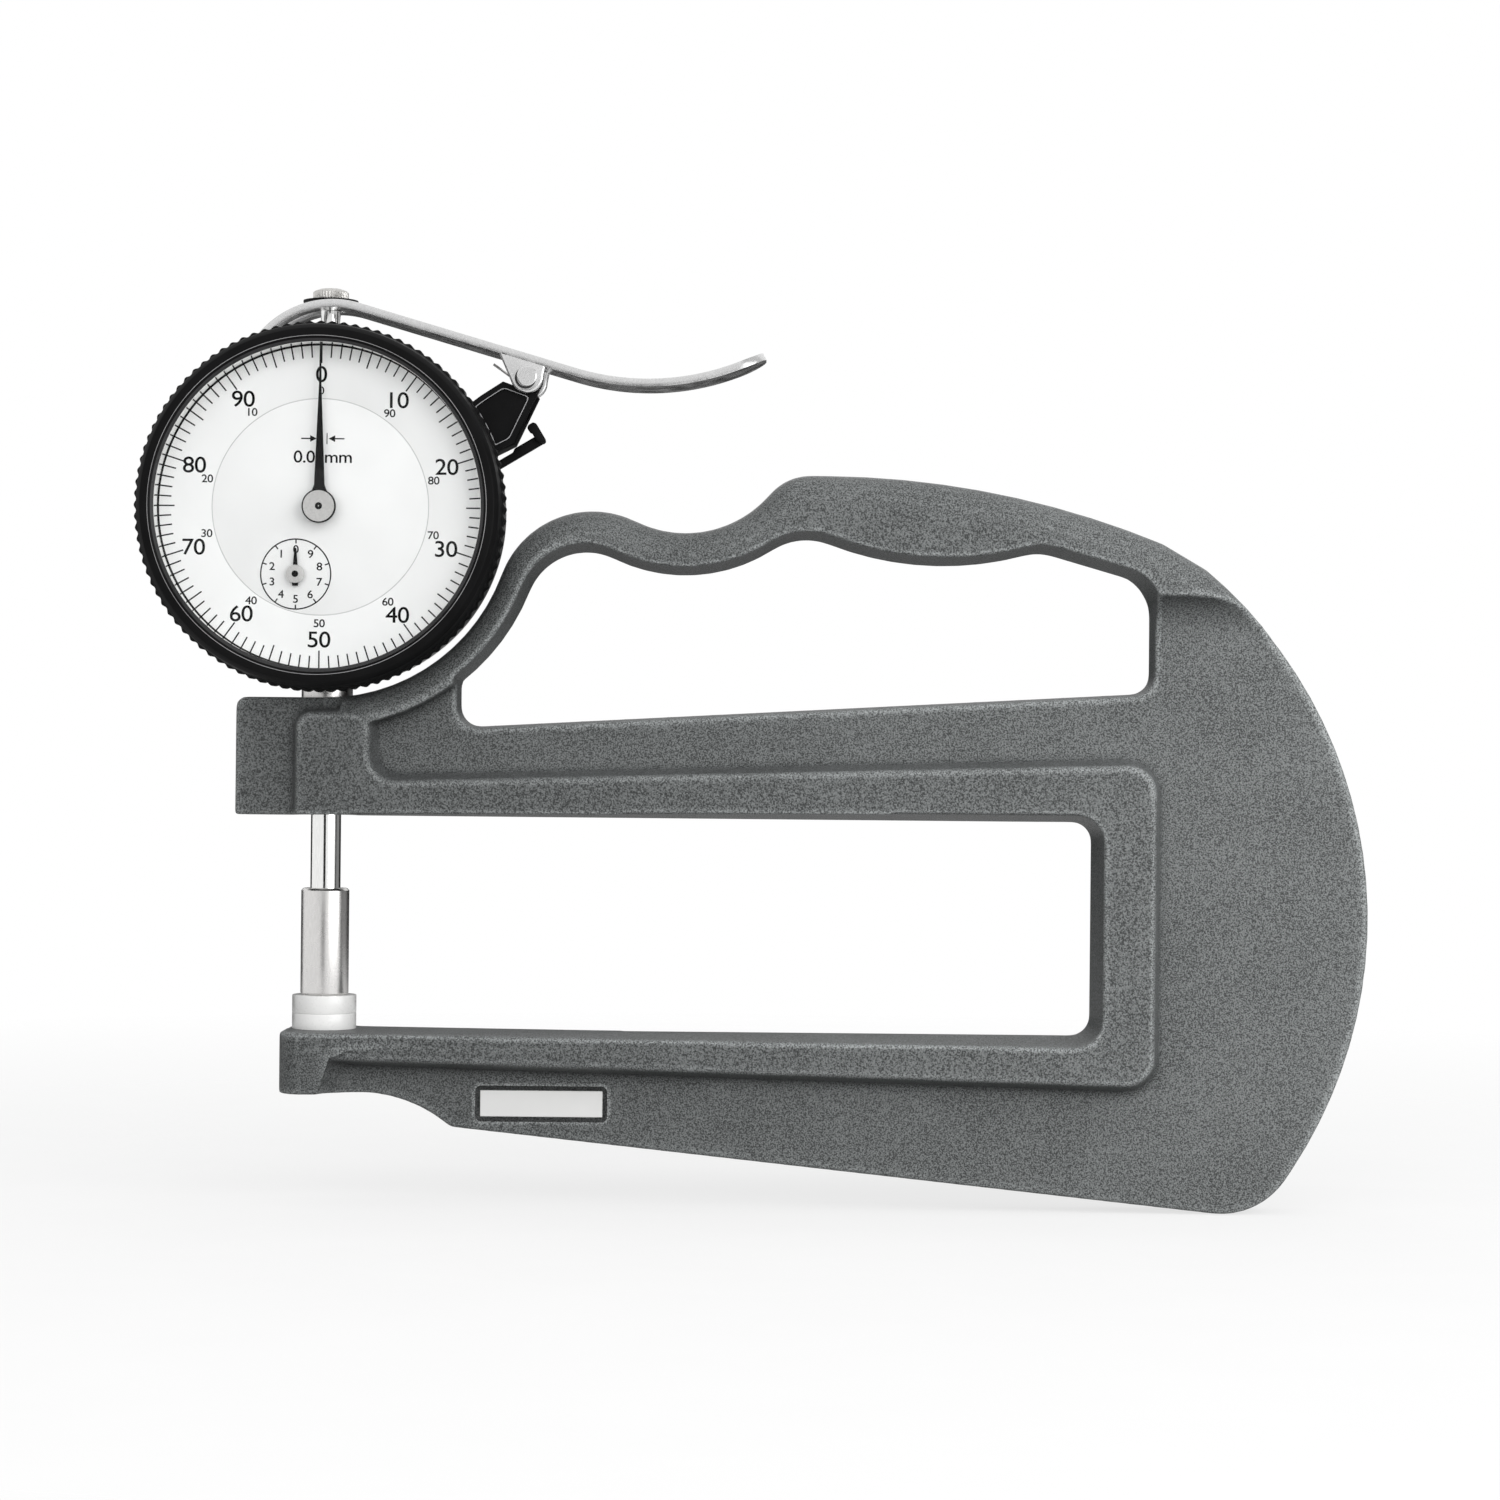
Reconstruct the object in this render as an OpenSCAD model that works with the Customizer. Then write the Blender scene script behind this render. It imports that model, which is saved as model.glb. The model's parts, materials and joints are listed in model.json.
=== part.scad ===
// Dial thickness gauge with a deep throat and a moulded grip, in millimetres.
// Origin: centre of the anvil's measuring face. +X runs into the throat, +Z is up and
// -Y is the dial side.

/* [Measuring] */
// Throat depth, from the spindle axis to the throat's end
throat_depth = 120; // [100:1:150]
// Height of the upper arm's underside above the anvil face
throat_rise = 30.9; // [26:0.1:40]
// Travel of the spindle
stroke = 10; // [6:1:12]
// Diameter of the two ceramic measuring faces
face_d = 10; // [8:0.5:12]
// Height of the moving ceramic tip
tip_h = 2.8; // [2:0.1:4]
// Height of the fixed ceramic anvil
anvil_h = 2.5; // [2:0.1:4]
// Diameter of the contact sleeve
sleeve_d = 7.5; // [6:0.1:9]

/* [Frame] */
// Thickness of the rib round the throat and of the handle
rib_t = 20; // [16:0.5:24]
// Thickness of the web
web_t = 10; // [7:0.5:12]
// Thickness of the head that holds the stem
head_t = 14; // [13:0.5:15]
// Draft of the throat walls, from the parting line to the face
draft = 1.25; // [0.5:0.05:2]
// Height of the head
head_h = 18.4; // [16:0.1:24]
// Reach of the head to the left of the spindle axis
head_left = 13.4; // [10:0.1:18]
// Reach of the lower arm to the left of the spindle axis
arm_left = 6.2; // [6:0.1:10]
// Height of the lower arm at its nose
arm_h = 9.6; // [8.5:0.1:14]
// Height of the upper arm at the left end of the hand opening
upper_arm_h = 14; // [11:0.1:16]
// Width of the rib along the throat
rib_w = 9.3; // [7:0.1:12]
// Reach of the back behind the throat
back_reach = 42.9; // [36:0.1:50]
// Radius of the round back
back_r = 70.8; // [66:0.1:76]

/* [Handle] */
// Radius of the hump beside the dial
hump_r = 15.1; // [13:0.1:18]
// Radius of the finger valley
valley_r = 17.3; // [14:0.1:20]
// Radius of the grip's front shoulder
shoulder_r = 8.1; // [6.5:0.1:10]
// Radius of the grip's crown
crown_r = 140; // [120:1:160]
// Width of the strip that wraps the dial
strip_t = 4.7; // [4:0.1:6]
// Rounding of the handle's upper edges
grip_round = 5; // [3:0.1:6]

/* [Indicator] */
// Diameter of the bezel
bezel_d = 57; // [54:0.5:62]
// Gap between the bezel and the frame
bezel_gap = 0.7; // [0.4:0.1:2]
// Distance from the stem axis to the flat back
case_back = 7.6; // [7:0.1:9]
// Distance from the stem axis to the face of the dial
dial_front = 11.5; // [11:0.1:13]
// Thickness of the crystal
crystal_t = 1.2; // [0.8:0.1:1.6]
// Diameter of the stem
stem_d = 8; // [7.5:0.1:9.5]
// Diameter of the plunger
plunger_d = 4.7; // [4.5:0.05:4.9]
// Diameter of the plunger's neck
neck_d = 3.1; // [2.6:0.1:3.4]
// Number of scallops round the bezel
bezel_scallops = 100; // [60:1:150]

/* [Lever] */
// Width of the lifting lever
lever_w = 11.5; // [10:0.1:13]
// Thickness of the lever's plate
lever_t = 1.2; // [1:0.1:1.6]
// Diameter of the lever's pin
pivot_d = 2.2; // [1.8:0.1:2.4]

/* [Fits] */
// Radial clearance of a turning or sliding fit
run_fit = 0.03; // [0.02:0.01:0.06]
// Radial clearance of a fixed fit
seat_fit = 0.02; // [0.01:0.01:0.04]

/* [Hidden] */
$fn = 64;

// Largest gap between an arc and its facets
sag = 0.035;
// Overshoot of a cut past the face that it opens
over = 1;

// Levels of the frame
arm_top = -anvil_h;
arm_bottom = arm_top - arm_h;
head_top = throat_rise + head_h;

// The dial sits in a recess whose wall follows the bezel
bezel_r = bezel_d / 2;
recess_r = bezel_r + bezel_gap;
dial_z = head_top + recess_r;
dial_c = [0, dial_z];

// Lower edge of the frame: nose, concave shoulder, sloping belly and round heel
edge_r = 1.5;
belly_slope = 5.95;
neck_slope = 38.2;
neck_r = 22;
neck_len = 8.55;
neck_x = 13.6;
neck_start = [neck_x, arm_bottom];
neck_end = neck_start + neck_len * vec(-neck_slope);
heel_r = 12;
heel_angle = -33;
back_c = [throat_depth + back_reach - back_r, 0.51 * throat_rise];
heel = meet(neck_end, -belly_slope, back_c + back_r * vec(heel_angle), heel_angle + 90);

// Upper edge: a chain of tangent arcs from the dial recess to the crown
recess_side = 160.3;
hump_side = 64;
valley_side = 140.1;
hump_c = dial_c + (recess_r + hump_r) * vec(recess_side - 180);
valley_c = hump_c + (hump_r + valley_r) * vec(hump_side);
shoulder_c = valley_c + (valley_r + shoulder_r) * vec(valley_side - 180);
crown_shift = 2.7;
crown_c = shoulder_c + [crown_shift, shoulder_r - crown_r];
tail = circles_meet(back_c, back_r, crown_c, crown_r);
tail_blend = 4;
back_end = angle_of(tail - back_c) - arc_angle(tail_blend, back_r);
crown_start = angle_of(tail - crown_c) + arc_angle(tail_blend, crown_r);

// Hand opening: the inner edge of the handle is a second chain of tangent arcs
wall_gap = 8.9;
wall_x = throat_depth + wall_gap;
opening_left = 21.1;
opening_floor = throat_rise + upper_arm_h;
floor_slope = 3.35;
opening_r = 3;
tail_r = 6;
tail_slope = 16;
strip_r = recess_r + strip_t;
hump_in_dx = 1.1;
hump_in_dz = 0.7;
hump_in_c = hump_c - [hump_in_dx, hump_in_dz];
hump_in_r = norm(hump_in_c - dial_c) - strip_r;
valley_in_dx = 0.1;
valley_in_dz = 1.7;
valley_in_c = valley_c + [-valley_in_dx, valley_in_dz];
valley_in_r = norm(valley_in_c - hump_in_c) - hump_in_r;
crest_dx = 19.2;
crest_dz = 29.4;
crest_c = valley_in_c + [crest_dx, -crest_dz];
crest_r = norm(crest_c - valley_in_c) - valley_in_r;
grip_len = wall_x - crest_c.x;
bulge_share = 0.39;
bulge_dz = 55;
bulge_c = crest_c + [bulge_share * grip_len, bulge_dz];
bulge_r = norm(bulge_c - crest_c) - crest_r;
tail_crest_r = 8;
tail_share = 0.282;
tail_crest_side = -acos(tail_share * grip_len / (bulge_r + tail_crest_r));
tail_crest_c = bulge_c + (bulge_r + tail_crest_r) * vec(tail_crest_side);
tail_top = meet(tail_crest_c + tail_crest_r * vec(90 - tail_slope), -tail_slope, [wall_x, 0], 90);
opening_draft = 0.9;

// Raised rib round the throat and its panel over the stem
throat_r = 3;
rib_low = 4.1;
rib_high = 5.25;
rib_low_slope = 1.46;
rib_high_slope = 1.73;
rib_corner_r = 4.5;
rib_right = throat_depth + rib_w;
rib_wall = 1;
rib_edge = 0.5;
panel_left = -3.75;
panel_right = 7.7;
panel_gap = 2.3;
panel_top = head_top - panel_gap;
panel_r = 2.5;
panel_fillet_r = 4;

// Coves where the handle and the anvil nose step down to the web
handle_rise = 17.1;
handle_end = head_top + handle_rise;
handle_cove_r = 6.5;
nose_right = 0.7;
nose_round = 4;
nose_cove_r = 6;
strip_start = 3;

// Bare plate in its pocket on the lower arm
plate_len = 19;
plate_h = 4.05;
plate_t = 0.35;
pocket_border = 0.4;
pocket_depth = 0.5;
plate_x = 34.45;
plate_drop = 1.5;
plate_c = [plate_x, arm_bottom - plate_drop];

// Anvil shank and stem clamp
shank_d = 5;
shank_len = 7.5;
clamp_d = 4;
clamp_z = throat_rise + 0.3 * head_h;
pad_len = 2;
socket_d = 2;
socket_len = 2.5;
screw_sink = 1;
pad_gap = 0.2;

// Case of the indicator, as depths in front of the stem axis
case_r = bezel_r - 1.1;
seat_r = bezel_r - 2.1;
case_wall = 4.9;
bore_r = case_r - case_wall;
front_bore_r = case_r - 2.2;
cover_t = 2;
cover_r = bore_r + 2.5;
flange_front = dial_front - 3.5;
case_front = dial_front - 1.2;
bezel_back = flange_front + 0.2;
groove_depth = 0.45;
groove_w = 0.8;
wire_d = 0.66;
groove_mid = (bezel_back + case_front) / 2 + 0.1;
ring_t = 0.6;
spacer_h = 3.1;
spacer_lean = 0.4;
crystal_back = dial_front + spacer_h;
crystal_front = crystal_back + crystal_t;
lip_t = 0.6;
bezel_front = crystal_front + lip_t;
lip_r = bezel_r - 3.3;
scallop_depth = 0.35;
scallop_front = bezel_front - 3.2;
bezel_step = 0.6;
bezel_lean = 0.5;
bezel_chamfer = 0.9;
dial_r = 16.6;
dial_gap = 0.25;
cover_screws = 4;
cover_screw_d = 1.6;
cover_screw_head = 2.2;
cover_screw_r = bore_r + 1.25;
cover_screw_len = 3;
slot_w = 0.4;
slot_depth = 0.4;

// Stem and upper bush
stem_low = throat_rise + 1.1;
stem_high = dial_z - case_r + 4.2;
bush_d = 6;
bush_flange_d = 7.2;
bush_flange_h = 1;
bush_low = dial_z + bore_r;
bush_high = dial_z + case_r + 0.6;

// Spindle stack, from the measuring face up
sleeve_gap = 1.4;
sleeve_top = throat_rise - stroke - sleeve_gap;
spigot_d = 2.6;
spigot_len = 7;
tip_boss_d = 4;
tip_boss_h = 2.5;
spring_room = stroke + 6;
neck_low = bush_low - spring_room;
washer_low = dial_z + bezel_r + 4.25;
washer_t = 0.35;
washer_d = 8.6;
cap_d = 5.6;
cap_h = 1.9;
cap_chamfer = 0.5;
cap_bore_h = 1.2;
guide_pin_d = 1.2;
guide_pin_z = dial_z - 14;
guide_len = stroke + 6;
guide_w = 5;
guide_front = -plunger_d / 2 - 0.6;

// Movement: two plates on pillars, the counter train and the take-up train
tooth_module = 0.2;
wheel_teeth = 100;
pinion_teeth = 10;
rack_teeth = 16;
travel_per_turn = 10;
rack_pitch = travel_per_turn / rack_teeth;
rack_module = rack_pitch / PI;
train_c = tooth_module * (wheel_teeth + pinion_teeth) / 2;
rack_pinion_r = rack_module * rack_teeth / 2;
rack_line = -(plunger_d / 2 - 0.25);
counter_x = rack_line - rack_pinion_r;
counter_y = -sqrt(train_c * train_c - counter_x * counter_x);
train_angle = angle_of([-counter_x, -counter_y]);
counter_z = dial_z + counter_y;
plate_r = front_bore_r - 0.1;
plate_flat = bore_r - 1;
rear_plate_back = plunger_d / 2 + 0.4;
plate_thick = 0.8;
rear_plate_front = rear_plate_back + plate_thick;
wheel_back = rear_plate_front + 0.65;
wheel_t = 0.8;
front_plate_back = wheel_back + wheel_t + 1;
front_plate_front = front_plate_back + 1.2;
arbor_d = 1;
hub_d = 2.4;
pillar_d = 3;
pillar_far = 18;
pillar_low = 9;
pillar_near = 12.5;
pillar_high = 17;
pillar_spots = [[pillar_far, -pillar_low], [-pillar_far, pillar_low],
    [pillar_near, -pillar_high], [-pillar_near, pillar_high]];
screw_d = 1.4;
screw_head_d = 2.4;
screw_head_h = 0.7;
rack_face = 3;
spiral_turns = 4;
spiral_in = 1.3;
spiral_out = 4.6;
spiral_t = 0.16;
spiral_w = 0.4;
spiral_back = wheel_back + wheel_t + 0.25;
stud_size = 0.9;
dial_foot_d = 1.6;
dial_foot_r = 13;
dial_feet = [20, 140, 300];

// Hands
pointer_tip = dial_r + 8.2;
pointer_back = dial_front + 1.5;
pointer_t = 0.3;
pointer_hub_d = 5;
pointer_hub_h = 1;
pointer_w = 2;
pointer_point_w = 0.16;
hand_back = dial_front + 0.6;
hand_t = 0.2;
hand_hub_d = 2.8;
hand_tip = 4.4;
hand_w = 1.1;
hand_point_w = 0.3;
hand_tail = 2.4;
hand_tail_w = 0.8;

// Lifting lever and its holder
pivot_side = 33.94;
pivot_c = dial_c + (bezel_r + 9.1) * vec(pivot_side);
crest_top = washer_low - 0.05;
lever_crest_r = 15;
lever_crest_c = [1, crest_top - lever_crest_r];
fork_side = 140;
lever_slope = 16.2;
lever_straight = 35;
thumb_r = 39;
lever_bend = lever_crest_c + lever_crest_r * vec(90 - lever_slope);
thumb_c = lever_bend + lever_straight * vec(-lever_slope) + thumb_r * vec(90 - lever_slope);
thumb_side = -61.4;
fork_slot = neck_d + 0.4;
fork_end = 2.2;
ear_t = 1.3;
ear_r = 2.6;
ear_left = 4.7;
ear_right = 3;
ear_turn = 20;
pin_head_d = pivot_d + 0.9;
pin_head_t = 0.5;
window = 2.9;
lug_r = 2.1;
lug_w = 4.6;
holder_w = lever_w - 2 * ear_t - 0.5;
holder_base = case_r;
holder_low = 19.5;
holder_high = 37;
holder_rise = 2.6;
holder_top_x = 3.8;
holder_top_z = 0.7;
holder_nose_x = 1.5;
holder_nose_z = 2.6;
holder_foot_x = 2.1;
holder_foot_z = 10.2;
holder_border = 0.9;
holder_recess = 0.5;
lug_foot = 4;
lug_lean = 3.2;
holder_screw_side = 27.5;
holder_screw_d = 2;
holder_head_d = 3.4;
holder_head_h = 1.5;
holder_seat = 2;
holder_screw_gap = 0.8;
spring_wire = 0.45;
coil_r = pivot_d / 2 + 0.2 + spring_wire / 2;

// Bezel clamp
clamp_arm_d = 1.6;
clamp_arm_slope = 31;
clamp_arm_x = 25.2;
clamp_arm_dz = 6.9;
clamp_arm_len = 9.9;
tab_t = 1.3;
tab_len = 2.8;
tab_w = 3.4;
tab_lip = 0.25;
tab_lip_t = 1.1;

// Unit vector at an angle
function vec(a) = [cos(a), sin(a)];
// Angle of a vector
function angle_of(v) = atan2(v.y, v.x);
// Angle that an arc of a given length spans
function arc_angle(length, r) = length / r * 180 / PI;
// Crossing of the line through p at heading hp with the line through q at heading hq
function meet(p, hp, q, hq) = p + vec(hp) * cross(q - p, vec(hq)) / cross(vec(hp), vec(hq));
// Crossing of two circles, on the right of the line from the first centre to the second
function circles_meet(c0, r0, c1, r1) =
    let (d = norm(c1 - c0), u = (c1 - c0) / d, a = (r0 * r0 - r1 * r1 + d * d) / (2 * d))
    c0 + a * u + sqrt(r0 * r0 - a * a) * [-u.y, u.x];

// An outline is a chain of arcs [centre, radius, start, end] that lines join.
// A rising angle is a convex arc and a falling one is concave.
function arc(c, r, a0, a1) = [c, r, a0, a1];
// Rounded corner at p, from heading h0 to heading h1
function corner(p, h0, h1, r) =
    let (turn = h1 - h0, side = sign(turn))
    arc(p - r * tan(abs(turn) / 2) * vec(h0) + side * r * vec(h0 + 90), r,
        h0 - 90 * side, h0 - 90 * side + turn);
// Plain point of an outline
function spot(p) = arc(p, 0, 0, 0);
function arc_steps(a) =
    a[1] == 0 ? 0 : max(2, ceil(abs(a[3] - a[2]) / (2 * acos(1 - sag / max(a[1], 2 * sag)))));
function arc_points(a, inset) =
    let (n = arc_steps(a), r = max(0.01, a[1] - inset * sign(a[3] - a[2])))
    n == 0 ? [a[0]] : [for (i = [0 : n]) a[0] + r * vec(a[2] + (a[3] - a[2]) * i / n)];
function outline(arcs, inset = 0) = [for (a = arcs) each arc_points(a, inset)];

// Levels [y, inset] of a slab whose two edges are rounded
function rounded_levels(half, r, steps) = concat(
    [for (i = [steps : -1 : 0]) [-half + r - r * sin(90 * i / steps), r - r * cos(90 * i / steps)]],
    [for (i = [0 : steps]) [half - r + r * sin(90 * i / steps), r - r * cos(90 * i / steps)]]);

// Solid between the insets of one outline at a row of levels, front to back
module loft(arcs, levels) {
    n = len(outline(arcs));
    rows = len(levels);
    points = [for (level = levels) each
        [for (p = outline(arcs, level[1])) [p.x, level[0], p.y]]];
    sides = [for (k = [0 : rows - 2], i = [0 : n - 1])
        [k * n + i, k * n + (i + 1) % n, (k + 1) * n + (i + 1) % n, (k + 1) * n + i]];
    front = [for (i = [n - 1 : -1 : 0]) i];
    back = [for (i = [0 : n - 1]) (rows - 1) * n + i];
    polyhedron(points, concat([front, back], sides), convexity = 10);
}

// Round bar swept along a path of points
module sweep(path, d, sides = 6) {
    last = len(path) - 1;
    function heading(i) =
        let (v = path[min(i + 1, last)] - path[max(i - 1, 0)]) v / norm(v);
    function across(i) =
        let (h = heading(i), w = abs(h.z) > 0.9 ? [1, 0, 0] : [0, 0, 1], s = cross(h, w))
        s / norm(s);
    points = [for (i = [0 : last], k = [0 : sides - 1])
        let (s = across(i), u = cross(s, heading(i)), a = 360 * k / sides)
        path[i] + d / 2 * (cos(a) * s + sin(a) * u)];
    walls = [for (i = [0 : last - 1], k = [0 : sides - 1])
        [i * sides + k, i * sides + (k + 1) % sides,
         (i + 1) * sides + (k + 1) % sides, (i + 1) * sides + k]];
    start = [for (k = [sides - 1 : -1 : 0]) k];
    end = [for (k = [0 : sides - 1]) last * sides + k];
    polyhedron(points, concat([start, end], walls), convexity = 10);
}

// Local frame of the dial: x to the right, y up and z towards the front
module on_dial(depth = 0) translate([0, -depth, dial_z]) rotate([90, 0, 0]) children();

// Local frame of a radial direction in the plane of the spindle: z points outwards
module on_radius(side, r = 0)
    translate([0, 0, dial_z]) rotate([0, 90 - side, 0]) translate([0, 0, r]) children();

// Plate in the plane of the dial between two depths
module slab(from, to) on_dial(from) linear_extrude(to - from) children();

// Ring about the dial's axis, from its section [radius, depth]
module ring(section) on_dial() rotate_extrude() polygon(section);

// Toothed wheel outline with straight flanks
function gear_points(teeth, size, thin = 0.21) =
    let (pitch_r = teeth * size / 2, tip = pitch_r + 0.9 * size, root = pitch_r - 1.15 * size)
    [for (i = [0 : teeth - 1], k = [[-1, root], [-1, tip], [1, tip], [1, root]])
        let (half = thin - tan(20) * (k[1] - pitch_r) / (PI * size))
        k[1] * vec((i + k[0] * half) * 360 / teeth)];

// Frame
function frame_edge() = [
    corner([-arm_left, arm_bottom], -90, 0, edge_r),
    corner(neck_start, 0, -neck_slope, neck_r),
    corner(neck_end, -neck_slope, -belly_slope, edge_r),
    corner(heel, -belly_slope, heel_angle + 90, heel_r),
    arc(back_c, back_r, heel_angle, back_end),
    arc(crown_c, crown_r, crown_start, 90),
    arc(shoulder_c, shoulder_r, 90, valley_side),
    arc(valley_c, valley_r, valley_side - 180, hump_side - 180),
    arc(hump_c, hump_r, hump_side, recess_side),
    arc(dial_c, recess_r, recess_side - 180, -90),
    corner([-head_left, head_top], 180, 270, edge_r),
    spot([-head_left, throat_rise - over]),
    spot([-arm_left, arm_top + over])
];

function opening_edge() = [
    corner([opening_left, opening_floor], -90, floor_slope, opening_r),
    corner(meet([opening_left, opening_floor], floor_slope, [wall_x, 0], 90),
        floor_slope, 90, opening_r),
    corner(tail_top, 90, 180 - tail_slope, tail_r),
    arc(tail_crest_c, tail_crest_r, 90 - tail_slope, 180 + tail_crest_side),
    arc(bulge_c, bulge_r, tail_crest_side, angle_of(crest_c - bulge_c)),
    arc(crest_c, crest_r, angle_of(bulge_c - crest_c), angle_of(valley_in_c - crest_c)),
    arc(valley_in_c, valley_in_r, angle_of(crest_c - valley_in_c), angle_of(hump_in_c - valley_in_c)),
    arc(hump_in_c, hump_in_r, angle_of(valley_in_c - hump_in_c), angle_of(dial_c - hump_in_c)),
    arc(dial_c, strip_r, angle_of(hump_in_c - dial_c), -acos(opening_left / strip_r))
];

function throat_edge() = [
    corner([throat_depth, arm_top], 0, 90, throat_r),
    corner([throat_depth, throat_rise], 90, 180, throat_r),
    spot([-2 * head_left, throat_rise]),
    spot([-2 * head_left, arm_top])
];

function rib_edge_line() =
    let (low = [0, arm_top - rib_low], high = [0, throat_rise + rib_high], right = [rib_right, 0])
    [
        corner(meet(low, -rib_low_slope, right, 90), -rib_low_slope, 90, rib_corner_r),
        corner(meet(high, rib_high_slope, right, 90), 90, 180 + rib_high_slope, rib_corner_r),
        corner(meet(high, rib_high_slope, [panel_right, 0], 90),
            180 + rib_high_slope, 90, panel_fillet_r),
        corner([panel_right, panel_top], 90, 180, panel_r),
        corner([panel_left, panel_top], 180, 270, panel_r),
        corner([panel_left, low.y], 270, 360 - rib_low_slope, edge_r)
    ];

// Slab of the frame's outline with rounded edges
module frame_slab(t, r, steps = 2) loft(frame_edge(), rounded_levels(t / 2, r, steps));

// Cut through the frame whose walls lean outwards from the parting line
module drafted_cut(arcs, lean) {
    depth = rib_t / 2 + over;
    slope = lean * depth / (rib_t / 2);
    loft(arcs, [[-depth, -slope], [0, 0], [depth, -slope]]);
}

// Block from corner p to corner q, right through the frame
module through(p, q) {
    size = q - p;
    translate([p.x, -rib_t, p.y]) cube([size.x, 2 * rib_t, size.y]);
}

module handle() {
    far = back_c.x + 2 * back_r;
    high = dial_z + bezel_d;
    intersection() {
        frame_slab(rib_t, grip_round, 5);
        union() {
            through([strip_start, handle_end], [far, high]);
            intersection() {
                through([strip_start, throat_rise], [dial_z, high]);
                on_dial(-rib_t) cylinder(r = strip_r, h = 2 * rib_t);
            }
        }
    }
    difference() {
        intersection() {
            frame_slab(rib_t, grip_round, 5);
            through([wall_x - over, handle_end - handle_cove_r], [far, handle_end]);
        }
        for (side = [-1, 1])
            translate([wall_x - 2 * over, side * (web_t / 2 + handle_cove_r), handle_end - handle_cove_r])
                rotate([0, 90, 0]) cylinder(r = handle_cove_r, h = far);
    }
}

module throat_rib() {
    face = rib_t / 2;
    loft(rib_edge_line(), [
        [-face, rib_edge], [-face + rib_edge, 0], [-web_t / 2, -rib_wall],
        [web_t / 2, -rib_wall], [face - rib_edge, 0], [face, rib_edge]]);
}

module anvil_nose() {
    nose_corner = [-arm_left + nose_round, rib_t / 2 - nose_round];
    translate([0, 0, arm_bottom]) linear_extrude(arm_h + over) {
        hull() for (side = [-1, 1])
            translate([nose_corner.x, side * nose_corner.y]) circle(nose_round, $fn = 32);
        translate([nose_corner.x, -rib_t / 2]) square([nose_right - nose_corner.x, rib_t]);
        difference() {
            translate([nose_right, -rib_t / 2]) square([nose_cove_r, rib_t]);
            for (side = [-1, 1])
                translate([nose_right + nose_cove_r, side * (web_t / 2 + nose_cove_r)])
                    circle(nose_cove_r);
        }
    }
}

module cast_body() resize([0, 0, 0]) difference() {
    union() {
        frame_slab(web_t, edge_r / 2);
        intersection() {
            frame_slab(head_t, edge_r / 2);
            through([-2 * head_left, throat_rise - 2 * over], [strip_start, dial_z]);
        }
        throat_rib();
        anvil_nose();
        handle();
    }
    drafted_cut(throat_edge(), draft);
    drafted_cut(opening_edge(), opening_draft);
}

module frame() color("dimgray") difference() {
    cast_body();
    translate([0, 0, throat_rise - over])
        cylinder(d = stem_d + 2 * seat_fit, h = head_h + 2 * over);
    translate([0, 0, arm_top - shank_len])
        cylinder(d = shank_d + 2 * seat_fit, h = shank_len + over);
    translate([-head_left - over, 0, clamp_z]) rotate([0, 90, 0])
        cylinder(d = clamp_d + 2 * seat_fit, h = head_left + over);
    translate([plate_c.x, -web_t / 2, plate_c.y])
        cube([plate_len + 2 * pocket_border, 2 * pocket_depth, plate_h + 2 * pocket_border],
            center = true);
}

module label_plate() color("whitesmoke")
    translate([plate_c.x, -web_t / 2 + pocket_depth - plate_t / 2, plate_c.y])
        cube([plate_len, plate_t, plate_h], center = true);

// Anvil and stem clamp
module anvil_tip() color("ivory") translate([0, 0, arm_top]) cylinder(d = face_d, h = anvil_h);

module anvil_shank() color("silver") translate([0, 0, arm_top - shank_len])
    cylinder(d = shank_d, h = shank_len);

module clamp_screw() color("gray") difference() {
    length = head_left - stem_d / 2 - pad_len - screw_sink - pad_gap;
    translate([-head_left + screw_sink, 0, clamp_z]) rotate([0, 90, 0])
        cylinder(d = clamp_d, h = length);
    translate([-head_left, 0, clamp_z]) rotate([0, 90, 0])
        cylinder(d = socket_d, h = socket_len + screw_sink, $fn = 6);
}

module clamp_pad() color("goldenrod") difference() {
    translate([-stem_d / 2 - pad_len - pad_gap, 0, clamp_z]) rotate([0, 90, 0])
        cylinder(d = clamp_d, h = pad_len + over);
    translate([0, 0, throat_rise]) cylinder(d = stem_d + 2 * seat_fit, h = head_h);
}

// Case of the indicator
module case() color("darkgray") difference() {
    ring([
        [bore_r, cover_t - case_back], [cover_r, cover_t - case_back], [cover_r, -case_back],
        [case_r - 1, -case_back], [case_r, 1 - case_back], [case_r, flange_front], [seat_r, flange_front],
        [seat_r, groove_mid - groove_w / 2], [seat_r - groove_depth, groove_mid - groove_w / 2],
        [seat_r - groove_depth, groove_mid + groove_w / 2], [seat_r, groove_mid + groove_w / 2],
        [seat_r, case_front], [front_bore_r, case_front], [front_bore_r, rear_plate_back],
        [bore_r, rear_plate_back]]);
    translate([0, 0, dial_z - 2 * bezel_r])
        cylinder(d = stem_d + 2 * seat_fit, h = 2 * bezel_r - 0.6 * bore_r);
    translate([0, 0, dial_z + 0.6 * bore_r]) cylinder(d = bush_d + 2 * seat_fit, h = bezel_r);
    translate([0, 0, bush_high - bush_flange_h])
        cylinder(d = bush_flange_d + 2 * seat_fit, h = bezel_r);
    on_radius(holder_screw_side, bore_r - over)
        cylinder(d = holder_screw_d + 2 * seat_fit, h = bezel_r);
    clamp_axis(-over) cylinder(d = clamp_arm_d + 2 * run_fit, h = bezel_r);
    cover_screw_places(-case_back)
        cylinder(d = cover_screw_d + 2 * seat_fit, h = cover_t + 1.1 * cover_screw_len);
}

module cover_screw_places(depth) on_dial(depth) for (i = [0 : cover_screws - 1])
    rotate(45 + i * 360 / cover_screws) translate([cover_screw_r, 0, 0]) children();

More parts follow.
